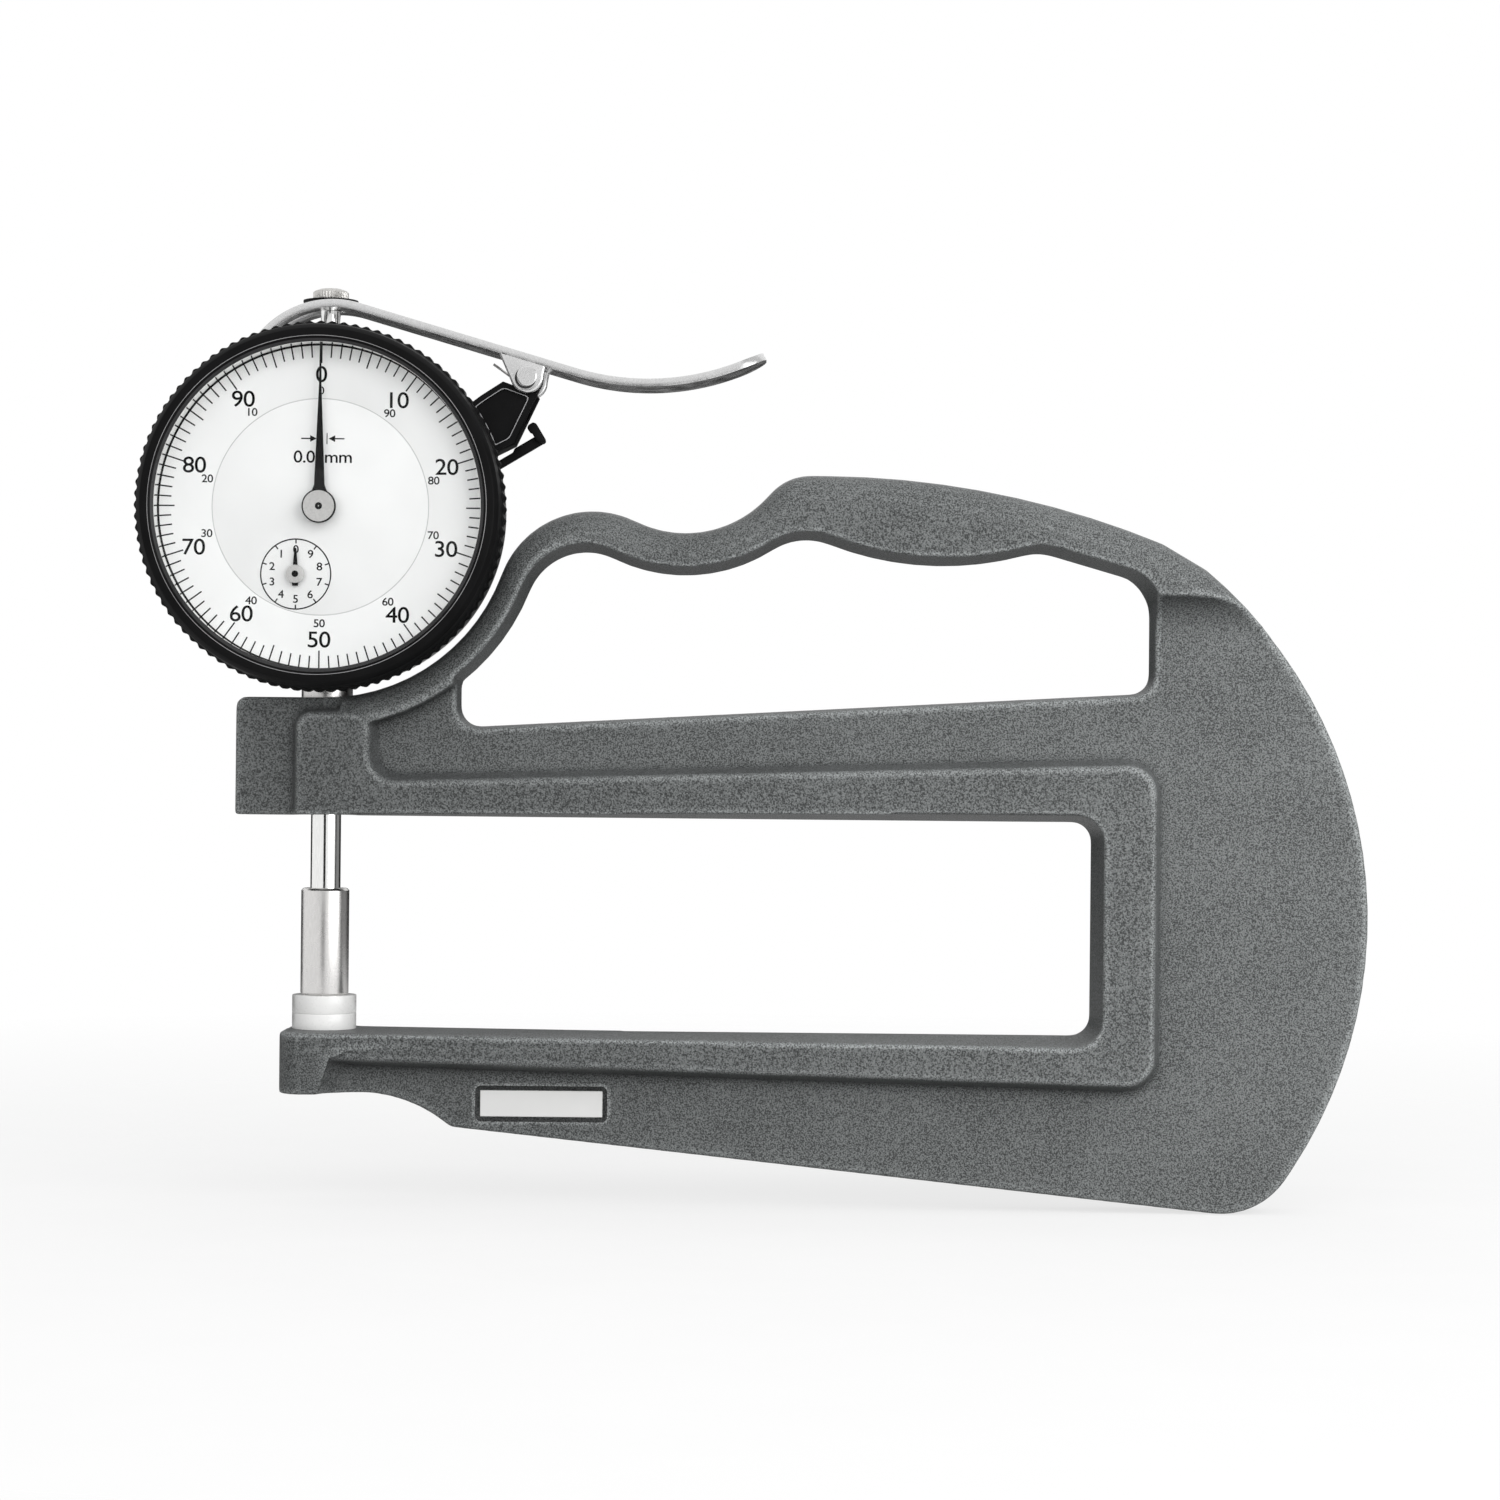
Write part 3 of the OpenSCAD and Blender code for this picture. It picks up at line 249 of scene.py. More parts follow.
@dataclass(frozen=True)
class HammerPaint(Finish):
    """Grey paint with a fine hammered grain over a casting. Its tone carries painted light: it grows paler
    along X towards the right, as under a key lamp on the right.

    Attributes:
        grain: Width of a grain.
        depth: Depth of the grain.
        cloud: Width of the faint clouds in the tone.
        span: Where the painted light starts and stops to change along X.
        tones: Factors on the tone at both ends of the span, painted shade on the left and painted light on
            the right.
        sunk: Factor on the tone in a groove, painted shade.
        worn: Factor on the tone along an edge, painted highlight.
        calm: Bend up to which a face counts as flat.
    """

    grain: float = 0.23
    depth: float = 0.07
    cloud: float = 14.0
    span: Point = (-10.0, 165.0)
    tones: Point = (0.80, 1.22)
    sunk: float = 0.7
    worn: float = 1.9
    calm: float = 0.12

    def dress(self, graph: Graph) -> None:
        cells = graph.noise(self.grain, 3.0)
        fine = graph.noise(self.grain / 3, 2.0)
        cloud = graph.spread(graph.noise(self.cloud, 3.0), -0.02, 0.02)
        tone = self.shades(graph, graph.combine("ADD", cells, cloud), (0.38, 0.4), (0.62, 1.65))
        # Painted light: the tone grows paler along X, as under a key lamp on the right.
        across = graph.add("ShaderNodeSeparateXYZ", {0: graph.place}).outputs["X"]
        level = graph.spread(across, *self.tones, self.span[0] * MM, self.span[1] * MM)
        mark = graph.add("ShaderNodeAttribute", attribute_name=EDGE_MARK).outputs["Fac"]
        # Painted shade darkens grooves and painted highlight brightens edges, both read from the edge mark.
        painted_groove_shade = graph.spread(mark, self.sunk, 1.0, -1.0, -self.calm)
        edges = graph.spread(mark, 1.0, self.worn, self.calm, 1.0)
        for factor in (painted_groove_shade, edges):
            level = graph.combine("MULTIPLY", level, factor)
        scaled = graph.add("ShaderNodeVectorMath", {0: tone, "Scale": level}, operation="SCALE")
        graph.feed(SURFACE, {
            "Base Color": scaled.outputs[0],
            "Roughness": self.rough(graph, fine, 0.08, 0.1),
            "Metallic": 0.1,
            "Specular IOR Level": 0.15,
            "Normal": graph.bump(fine, self.depth / 4, 0.6, graph.bump(cells, self.depth)),
        })


@dataclass(frozen=True)
class Metal(Finish):
    """Machined or plated metal with a directional grain."""

    stretch: Spot = (1, 1, 1)
    grain: float = 0.12
    depth: float = 0.004
    swing: float = 0.06

    def dress(self, graph: Graph) -> None:
        lines = graph.noise(self.grain, 3.0, self.stretch)
        haze = graph.noise(3.0, 3.0)
        graph.feed(SURFACE, {
            "Base Color": self.shades(graph, lines, (0.3, 0.9), (0.7, 1.06)),
            "Metallic": 1.0,
            "Roughness": self.rough(graph, haze, self.swing, self.swing),
            "Normal": graph.bump(lines, self.depth),
        })


@dataclass(frozen=True)
class Moulding(Finish):
    """Black anodised or moulded surface with a faint grain."""

    grain: float = 0.25
    depth: float = 0.012
    gloss: float = 0.08

    def dress(self, graph: Graph) -> None:
        skin = graph.noise(self.grain, 3.0)
        wear = graph.noise(6.0, 4.0)
        graph.feed(SURFACE, {
            "Base Color": self.shades(graph, wear, (0.3, 0.75), (0.75, 1.35)),
            "Roughness": self.rough(graph, wear, 0.05, 0.09),
            "Specular IOR Level": self.gloss,
            "Normal": graph.bump(skin, self.depth),
        })


@dataclass(frozen=True)
class Enamel(Finish):
    """Pale printed, glazed or painted face."""

    coat: float = 0.0
    depth: float = 0.003

    def dress(self, graph: Graph) -> None:
        speck = graph.noise(0.5, 4.0)
        cloud = graph.noise(9.0, 3.0)
        graph.feed(SURFACE, {
            "Base Color": self.shades(graph, cloud, (0.3, 0.965), (0.7, 1.02)),
            "Roughness": self.rough(graph, speck, 0.05, 0.05),
            "Coat Weight": self.coat,
            "Normal": graph.bump(speck, self.depth),
        })


@dataclass(frozen=True)
class Clear(Finish):
    """Thin crystal: light goes straight through and the face reflects a little."""

    index: float = 1.46
    shine: float = 0.4

    def dress(self, graph: Graph) -> None:
        haze = graph.noise(8.0, 2.0)
        through = graph.add("ShaderNodeBsdfTransparent", {"Color": (*self.colour, 1)})
        gloss = graph.add("ShaderNodeBsdfGlossy", {"Roughness": self.rough(graph, haze, 0.0, 0.02)})
        facing = graph.add("ShaderNodeFresnel", {"IOR": self.index})
        share = graph.combine("MULTIPLY", facing.outputs[0], self.shine)
        graph.feed(OUTPUT, {"Surface": graph.mix(share, through, gloss).outputs[0]})


PAINT = HammerPaint("frame_paint", (0.120, 0.126, 0.126), 0.42)
# Painted shade: a darker copy of the frame paint for the walls of the plate's pocket.
POCKET_SHADE = HammerPaint("frame_paint", (0.042, 0.044, 0.044), 0.42)
# Painted highlight: a paler copy of the frame paint for the rim of the plate's pocket.
RIM_HIGHLIGHT = HammerPaint("frame_paint", (0.27, 0.28, 0.28), 0.42)
CERAMIC = Enamel("ceramic_white", (0.84, 0.84, 0.83), 0.3, coat=0.5)
PLATE = Enamel("plate_face", (0.80, 0.80, 0.79), 0.38)
JOINT = Enamel("dial_white", (0.55, 0.55, 0.55), 0.5)
DIAL = Enamel("dial_white", (0.92, 0.92, 0.915), 0.5)
STEEL = Metal("satin_steel", (0.69, 0.68, 0.67), 0.27, stretch=(2, 2, 0.1), depth=0.0008, swing=0.02)
BLUED = Metal("blued_steel", (0.10, 0.10, 0.11), 0.38)
NICKEL = Metal("bright_nickel", (0.86, 0.86, 0.85), 0.1, stretch=(2, 2, 0.1), depth=0.0004, swing=0.02)
PLATED = Metal("bright_nickel", (0.76, 0.76, 0.76), 0.26, stretch=(1, 0.3, 1), grain=0.2, depth=0.006)
HUB = Metal("bright_nickel", (0.66, 0.65, 0.64), 0.45, grain=0.3, depth=0.0006, swing=0.02)
KNURLED = Metal("bright_nickel", (0.62, 0.61, 0.59), 0.34, grain=0.3, depth=0.12)
CASE = Metal("case_satin", (0.58, 0.58, 0.58), 0.34, stretch=(1, 14, 1), swing=0.015)
BRASS = Metal("movement_brass", (0.68, 0.47, 0.17), 0.34)
BLACK = Moulding("bezel_black", (0.004, 0.004, 0.0042), 0.4)
# Dark grey for painted light: a painted reflection on the bezel's black inner slope and a painted shadow
# round the lever's pin.
PAINTED_SHEEN_AND_SHADOW = Moulding("bezel_black", (0.03, 0.03, 0.031), 0.3, gloss=0.2)
# Painted highlight: pale grey for thin lines on the black bezel and lever holder.
PAINTED_HIGHLIGHT = Moulding("bezel_black", (0.3, 0.3, 0.305), 0.28, gloss=0.4)
INK = Moulding("hand_black", (0.004, 0.004, 0.004), 0.5, depth=0.002, gloss=0.06)
CRYSTAL = Clear("crystal_clear", (0.992, 0.995, 0.995), 0.01)


def polar(angle: float, radius: float) -> Point:
    """Point at an angle in degrees, counter-clockwise from the right."""
    return radius * math.cos(math.radians(angle)), radius * math.sin(math.radians(angle))


def arc(centre: Point, radius: float, start: float, end: float, steps: int) -> list[Point]:
    """Points of an arc, both ends included."""
    turns = [start + (end - start) * i / steps for i in range(steps + 1)]
    return [(centre[0] + polar(a, radius)[0], centre[1] + polar(a, radius)[1]) for a in turns]


def eased(points: Sequence[Point], radius: float, closed: bool = False) -> list[Point]:
    """Rounds the corners of a line.

    Args:
        points: Corner points.
        radius: Length that each corner gives up on both of its sides.
        closed: Whether the first and last points are corners too.

    Returns:
        The line with three points in place of each corner.
    """
    spots = [Vector(p) for p in points]
    count = len(spots)
    made: list[Point] = []
    for i, spot in enumerate(spots):
        if not closed and i in (0, count - 1):
            made.append(tuple(spot))
            continue
        back = spots[i - 1] - spot
        ahead = spots[(i + 1) % count] - spot
        reach = min(radius, back.length * 0.45, ahead.length * 0.45)
        start = spot + back.normalized() * reach
        end = spot + ahead.normalized() * reach
        middle = (start + end) / 4 + spot / 2
        made += [tuple(start), tuple(middle), tuple(end)]
    return made


def rounded_box(centre: Point, wide: float, high: float, radius: float) -> list[Point]:
    """Outline of a rectangle with round corners, from its half sizes."""
    made: list[Point] = []
    for side, (sx, sy) in zip((0, 90, 180, 270), ((1, 1), (-1, 1), (-1, -1), (1, -1))):
        corner = (centre[0] + sx * (wide - radius), centre[1] + sy * (high - radius))
        made += arc(corner, radius, side, side + 90, 5)
    return made


def section(inner: float, outer: float, low: float, high: float) -> list[Point]:
    """Half section of a disc or ring, from its inner lower corner."""
    return [(inner, low), (outer, low), (outer, high), (inner, high)]


def mirrored(half: Sequence[Point]) -> list[Point]:
    """Closed outline from its left half, drawn upwards."""
    return [*half, *((-x, y) for x, y in reversed(half))]


def turned(profile: Sequence[Point], steps: int = 96) -> Mesh:
    """Solid of revolution about Z.

    Args:
        profile: Points [radius, height].
        steps: Number of facets round the axis.

    Returns:
        The mesh in millimetres.
    """
    bm = bmesh.new()
    line = [bm.verts.new((radius, 0, height)) for radius, height in profile]
    edges = [bm.edges.new(pair) for pair in zip(line, line[1:])]
    bmesh.ops.spin(
        bm, geom=line + edges, cent=(0, 0, 0), axis=(0, 0, 1),
        angle=math.tau, steps=steps, use_merge=True,
    )
    bmesh.ops.remove_doubles(bm, verts=bm.verts, dist=1e-4)
    return bm


def cut_waves(bm: Mesh, count: int, depth: float, inner: float, top: float) -> None:
    """Cuts waves into the rim of a turned mesh.

    Args:
        bm: Mesh about Z.
        count: Number of waves round the rim.
        depth: Depth of a wave.
        inner: Radius inside which nothing is cut.
        top: Height above which nothing is cut.
    """
    for vert in bm.verts:
        radius = vert.co.xy.length
        if radius > inner and vert.co.z < top:
            turn = math.atan2(vert.co.y, vert.co.x) * count
            vert.co.xy *= 1 - depth * (0.5 - 0.5 * math.cos(turn)) / radius


def extruded(outline: Sequence[Point], low: float, high: float) -> Mesh:
    """Plate with an outline in X and Y, from height low to high."""
    bm = bmesh.new()
    face = bm.faces.new([bm.verts.new((x, y, low)) for x, y in outline])
    made = bmesh.ops.extrude_face_region(bm, geom=[face])
    moved = [item for item in made["geom"] if isinstance(item, bmesh.types.BMVert)]
    bmesh.ops.translate(bm, verts=moved, vec=(0, 0, high - low))
    bmesh.ops.recalc_face_normals(bm, faces=bm.faces)
    return bm


def soften(bm: Mesh, width: float, segments: int = 2, crease: float = 30) -> None:
    """Bevels every edge sharper than crease degrees."""
    limit = math.radians(crease)
    edges = [edge for edge in bm.edges if edge.is_manifold and edge.calc_face_angle(0) > limit]
    bmesh.ops.bevel(
        bm, geom=edges, offset=width, offset_type="OFFSET", affect="EDGES",
        segments=segments, profile=0.5, clamp_overlap=True, material=-1,
    )


def joined(meshes: Sequence[Mesh]) -> Mesh:
    """One mesh of several, which are freed."""
    whole = bmesh.new()
    for bm in meshes:
        part = bpy.data.meshes.new("joining")
        bm.to_mesh(part)
        bm.free()
        whole.from_mesh(part)
        bpy.data.meshes.remove(part)
    return whole


def add_object(name: str, data: bpy.types.ID) -> bpy.types.Object:
    """New object in the scene."""
    made = bpy.data.objects.new(name, data)
    bpy.context.scene.collection.objects.link(made)
    return made


def placed(name: str, bm: Mesh) -> bpy.types.Object:
    """New object of a mesh, which is freed."""
    mesh = bpy.data.meshes.new(name)
    bm.to_mesh(mesh)
    bm.free()
    return add_object(name, mesh)


def applied(holder: bpy.types.Object) -> Mesh:
    """Mesh of an object with its modifiers applied; the object is removed."""
    bpy.context.view_layer.update()
    shown = holder.evaluated_get(bpy.context.evaluated_depsgraph_get())
    mesh = bpy.data.meshes.new_from_object(shown)
    bpy.data.batch_remove([holder, holder.data])
    bm = bmesh.new()
    bm.from_mesh(mesh)
    bpy.data.meshes.remove(mesh)
    return bm


def carved(bm: Mesh, tool: Mesh) -> Mesh:
    """Mesh with the room of a tool cut out; both meshes are freed."""
    bmesh.ops.recalc_face_normals(tool, faces=tool.faces)
    holder = placed("carving", bm)
    cutter = placed("carving_tool", tool)
    cut = holder.modifiers.new("cut", "BOOLEAN")
    cut.operation = "DIFFERENCE"
    cut.solver = "EXACT"
    cut.object = cutter
    made = applied(holder)
    bpy.data.batch_remove([cutter, cutter.data])
    return made


def mark_edges(bm: Mesh, full: float) -> None:
    """Writes at each point how convex a mesh is, from -1 in a groove to 1 on an edge.

    Args:
        bm: Mesh to mark.
        full: Mean angle between faces, in radians, that counts as a whole edge or groove.
    """
    bmesh.ops.recalc_face_normals(bm, faces=bm.faces)
    layer = bm.verts.layers.float.new(EDGE_MARK)
    bends = {}
    for vert in bm.verts:
        turns = [edge.calc_face_angle_signed(0) for edge in vert.link_edges]
        bends[vert] = sum(turns) / max(1, len(turns))
    for vert in bm.verts:
        near = [bends[vert], *(bends[edge.other_vert(vert)] for edge in vert.link_edges)]
        vert[layer] = max(-1.0, min(1.0, sum(near) / len(near) / full))


def node_copy(node: str) -> Mesh:
    """Copy of a CAD node in millimetres, with its triangles merged into faces."""
    bm = bmesh.new()
    bm.from_mesh(frame["nodes"][node].data)
    bmesh.ops.scale(bm, vec=(1 / MM,) * 3, verts=bm.verts)
    bmesh.ops.remove_doubles(bm, verts=bm.verts, dist=0.002)
    bmesh.ops.dissolve_limit(
        bm, angle_limit=math.radians(0.6), verts=bm.verts, edges=bm.edges, use_dissolve_boundaries=False,
    )
    return bm


def add_piece(
    name: str, bm: Mesh, finish: Finish, body: Body,
    stands_for: Sequence[str] = (), crease: float = 35,
) -> bpy.types.Object:
    """Makes a piece of the object from a mesh in millimetres.

    Args:
        name: Name of the piece.
        bm: Mesh, which is freed.
        finish: Finish of the piece.
        body: Body that the piece moves with.
        stands_for: CAD nodes that aren't shown because this piece is.
        crease: Angle above which an edge is drawn sharp.

    Returns:
        The new object.
    """
    bmesh.ops.recalc_face_normals(bm, faces=bm.faces)
    limit = math.radians(crease)
    for edge in bm.edges:
        edge.smooth = edge.calc_face_angle(0) < limit
    for face in bm.faces:
        face.smooth = True
    bmesh.ops.scale(bm, vec=(MM,) * 3, verts=bm.verts)
    piece = placed(name, bm)
    piece.data.materials.append(finish.material())
    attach(piece, body.value)
    if stands_for:
        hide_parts(*stands_for)
    return piece


def dress_copy(node: str, finish: Finish, edge: float = 0.12, body: Body = Body.FRAME) -> None:
    """Shows a CAD node as a copy with eased edges; its flats and long sides stay true."""
    bm = node_copy(node)
    soften(bm, edge)
    add_piece(f"{node}_shown", bm, finish, body, [node], crease=20)


def dress_nodes(nodes: Sequence[str], finish: Finish) -> None:
    """Gives CAD nodes that show as they are a finish."""
    for node in nodes:
        piece = frame["nodes"][node]
        piece.data.materials.clear()
        piece.data.materials.append(finish.material())


def on_dial(bm: Mesh) -> Mesh:
    """Moves a mesh from the dial's own frame (x right, y up, z to the front) into place."""
    bmesh.ops.transform(bm, matrix=DIAL_FRAME, verts=bm.verts)
    return bm


def upright(bm: Mesh) -> Mesh:
    """Turns a plate drawn in X and Y so that its Y is up and its thickness runs to the front."""
    bmesh.ops.transform(bm, matrix=UPRIGHT, verts=bm.verts)
    return bm


def lettering(text: str, height: float, centre: Point, depth: float) -> Mesh:
    """Flat printed text in the dial's own frame.

    Args:
        text: What is printed.
        height: Height of a capital.
        centre: Middle of the text.
        depth: Height of the print above the dial's axis plane.

    Returns:
        The mesh in millimetres.
    """
    curve = bpy.data.curves.new("lettering", "FONT")
    curve.body = text
    curve.size = height / CAPITAL
    curve.resolution_u = 6
    curve.space_character = 0.95
    bm = applied(add_object("lettering", curve))
    sides = [[vert.co[i] for vert in bm.verts] for i in (0, 1)]
    middle = Vector(((min(side) + max(side)) / 2 for side in sides)).to_3d()
    bmesh.ops.translate(bm, verts=bm.verts, vec=-middle)
    bmesh.ops.scale(bm, verts=bm.verts, vec=(GLYPH_WIDTH, 1, 1))
    bmesh.ops.translate(bm, verts=bm.verts, vec=(*centre, depth))
    copies = []
    for turn in (90, 210, 330):
        copy = bm.copy()
        bmesh.ops.translate(copy, verts=copy.verts, vec=(*polar(turn, GLYPH_WEIGHT), 0))
        copies.append(copy)
    bm.free()
    return joined(copies)


def inset(outline: Sequence[Point], width: float) -> list[Point]:
    """Counter-clockwise outline moved inwards by a width."""
    spots = [Vector(spot) for spot in outline]
    made: list[Point] = []
    for i, spot in enumerate(spots):
        before = (spot - spots[i - 1]).normalized()
        after = (spots[(i + 1) % len(spots)] - spot).normalized()
        inward = Vector((-before.y - after.y, before.x + after.x)).normalized()
        share = max(0.3, inward.dot(Vector((-before.y, before.x))))
        made.append(tuple(spot + inward * width / share))
    return made


def flat(outline: Sequence[Point], depth: float) -> Mesh:
    """Flat printed shape in the dial's own frame."""
    bm = bmesh.new()
    bm.faces.new([bm.verts.new((x, y, depth)) for x, y in outline])
    return bm


def stroke(start: Point, end: Point, width: float, depth: float) -> Mesh:
    """Printed straight line."""
    a, b = Vector(start), Vector(end)
    side = (b - a).normalized().orthogonal() * width / 2
    return flat([tuple(a + side), tuple(b + side), tuple(b - side), tuple(a - side)], depth)


def strip(inner: Sequence[Point], outer: Sequence[Point], depths: Point) -> Mesh:
    """Thin band between two outlines of equal length, each at a depth of its own."""
    bm = bmesh.new()
    rows = []
    for outline, depth in zip((inner, outer), depths):
        rows.append([bm.verts.new((x, y, depth)) for x, y in outline])
    count = len(rows[0])
    for i in range(count):
        k = (i + 1) % count
        bm.faces.new((rows[0][i], rows[1][i], rows[1][k], rows[0][k]))
    return bm


def hoop(centre: Point, radius: float, width: float, depth: float, steps: int = 128) -> Mesh:
    """Printed circle."""
    rows = [arc(centre, radius + side * width / 2, 0, 360, steps)[:-1] for side in (-1, 1)]
    return strip(*rows, (depth, depth))


@dataclass
class CastFrame:
    """Cast frame with its bare plate, fixed anvil and stem clamp."""

    voxel: float = 0.4
    smoothing: int = 6
    most_faces: int = 180000
    anvil_r: float = 5.0
    anvil_h: float = 2.5
    chamfer: float = 0.1
    plate: Point = (34.45, -13.6)
    plate_size: Point = (19.0, 4.05)
    plate_corner: float = 0.15
    web: float = 5.0
    pocket_foot: float = 0.1
    pocket_reach: float = 0.8
    pocket_floor: float = 4.62
    rim: float = 0.1
    hair: float = 0.01
    nose_low: Point = (-2.5, -13.5)
    nose_high: Point = (4.5, -3.6)
    nose_side: float = 6.0
    nose_passes: int = 40
    full_edge: float = 0.2

    def build(self) -> None:
        """Makes the casting and what is fixed to it."""
        casting = add_piece("casting", self.casting(), PAINT, Body.FRAME, ["frame"], crease=60)
        LOG.info("casting has %d faces", len(casting.data.polygons))
        dress_copy("label_plate", PLATE, 0.08)
        self.add_pocket()
        anvil = turned(eased(section(0, self.anvil_r, -self.anvil_h, 0), self.chamfer))
        add_piece("anvil_disc", anvil, CERAMIC, Body.FRAME, ["anvil_tip"])
        dress_copy("clamp_screw", BLUED)
        dress_nodes(["anvil_shank"], STEEL)
        dress_nodes(["clamp_pad"], BRASS)

    def pocket(self, reach: float) -> list[Point]:
        """Outline round the plate, at a distance from its edge."""
        wide, high = (size / 2 + reach for size in self.plate_size)
        return rounded_box(self.plate, wide, high, self.plate_corner + reach)

    def add_pocket(self) -> None:
        """Adds the sloping walls of the plate's pocket, in painted shade, and a painted highlight along its
        rim.
        """
        ends = [self.pocket(reach) for reach in (self.pocket_foot, self.pocket_reach)]
        walls = strip(*ends, (self.pocket_floor, self.web - self.hair))
        add_piece("pocket_walls", upright(walls), POCKET_SHADE, Body.FRAME)
        edges = [self.pocket(self.pocket_reach + step) for step in (-2 * self.hair, self.rim)]
        rim = strip(*edges, (self.web + 2 * self.hair, self.web + self.hair))
        add_piece("pocket_rim", upright(rim), RIM_HIGHLIGHT, Body.FRAME)

    def casting(self) -> Mesh:
        """Copy of the frame with the soft edges that paint gives a casting."""
        rough = node_copy("frame")
        bmesh.ops.triangulate(rough, faces=rough.faces)
        holder = placed("casting_rough", rough)
        remesh = holder.modifiers.new("remesh", "REMESH")
        remesh.mode = "VOXEL"
        remesh.voxel_size = self.voxel
        smooth = holder.modifiers.new("smooth", "SMOOTH")
        smooth.factor = 0.5
        smooth.iterations = self.smoothing
        bpy.context.view_layer.update()
        dense = holder.evaluated_get(bpy.context.evaluated_depsgraph_get())
        triangles = 2 * len(dense.data.polygons)
        thin = holder.modifiers.new("thin", "DECIMATE")
        thin.ratio = min(1.0, self.most_faces / triangles)
        bm = applied(holder)
        cove = [vert for vert in bm.verts if self.in_cove(vert.co)]
        for _ in range(self.nose_passes):
            bmesh.ops.smooth_vert(
                bm, verts=cove, factor=0.5, use_axis_x=True, use_axis_y=True, use_axis_z=False,
            )
        floor = self.pocket_floor - 2 * self.hair
        cut = carved(bm, upright(extruded(self.pocket(self.pocket_reach), floor, self.web + 1)))
        mark_edges(cut, self.full_edge)
        return cut

    def in_cove(self, place: Vector) -> bool:
        """Whether a place is on the soft step behind the anvil's nose."""
        inside = all(low < at < high for low, at, high in zip(self.nose_low, place.xz, self.nose_high))
        return inside and abs(place.y) > self.nose_side


@dataclass
class Indicator:
    """Fixed pieces of the indicator: case, stem, bush, back and movement."""

    stroke: float = 10.0

    def build(self) -> None:
        """Dresses the case and the movement."""
        dress_copy("case", CASE, 0.2)
        dress_copy("stem", STEEL)
        dress_copy("upper_bush", NICKEL, 0.2)
        dress_copy("back_cover", CASE, 0.15)
        dress_copy("back_cover_screws", NICKEL, 0.06)
        dress_nodes(["pin_guide", "rear_plate", "front_plate", "hairspring_stud"], BRASS)
        dress_nodes(["plate_pillars", "bezel_spring"], STEEL)
        dress_nodes(["plate_screws", "hairspring"], BLUED)
        dress_nodes(["counter_gear", "takeup_gear"], BRASS)
        dress_nodes(["counter_arbor", "takeup_arbor"], STEEL)
        self.add_spring()

    def add_spring(self) -> None:
        """Shows the plunger's spring on a mesh of its own; nothing here makes it close up as the spindle
        rises.
        """
        coil = node_copy("plunger_spring")
        spring = add_piece("spring_coil", coil, STEEL, Body.FRAME, ["plunger_spring"])
        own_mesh(spring)


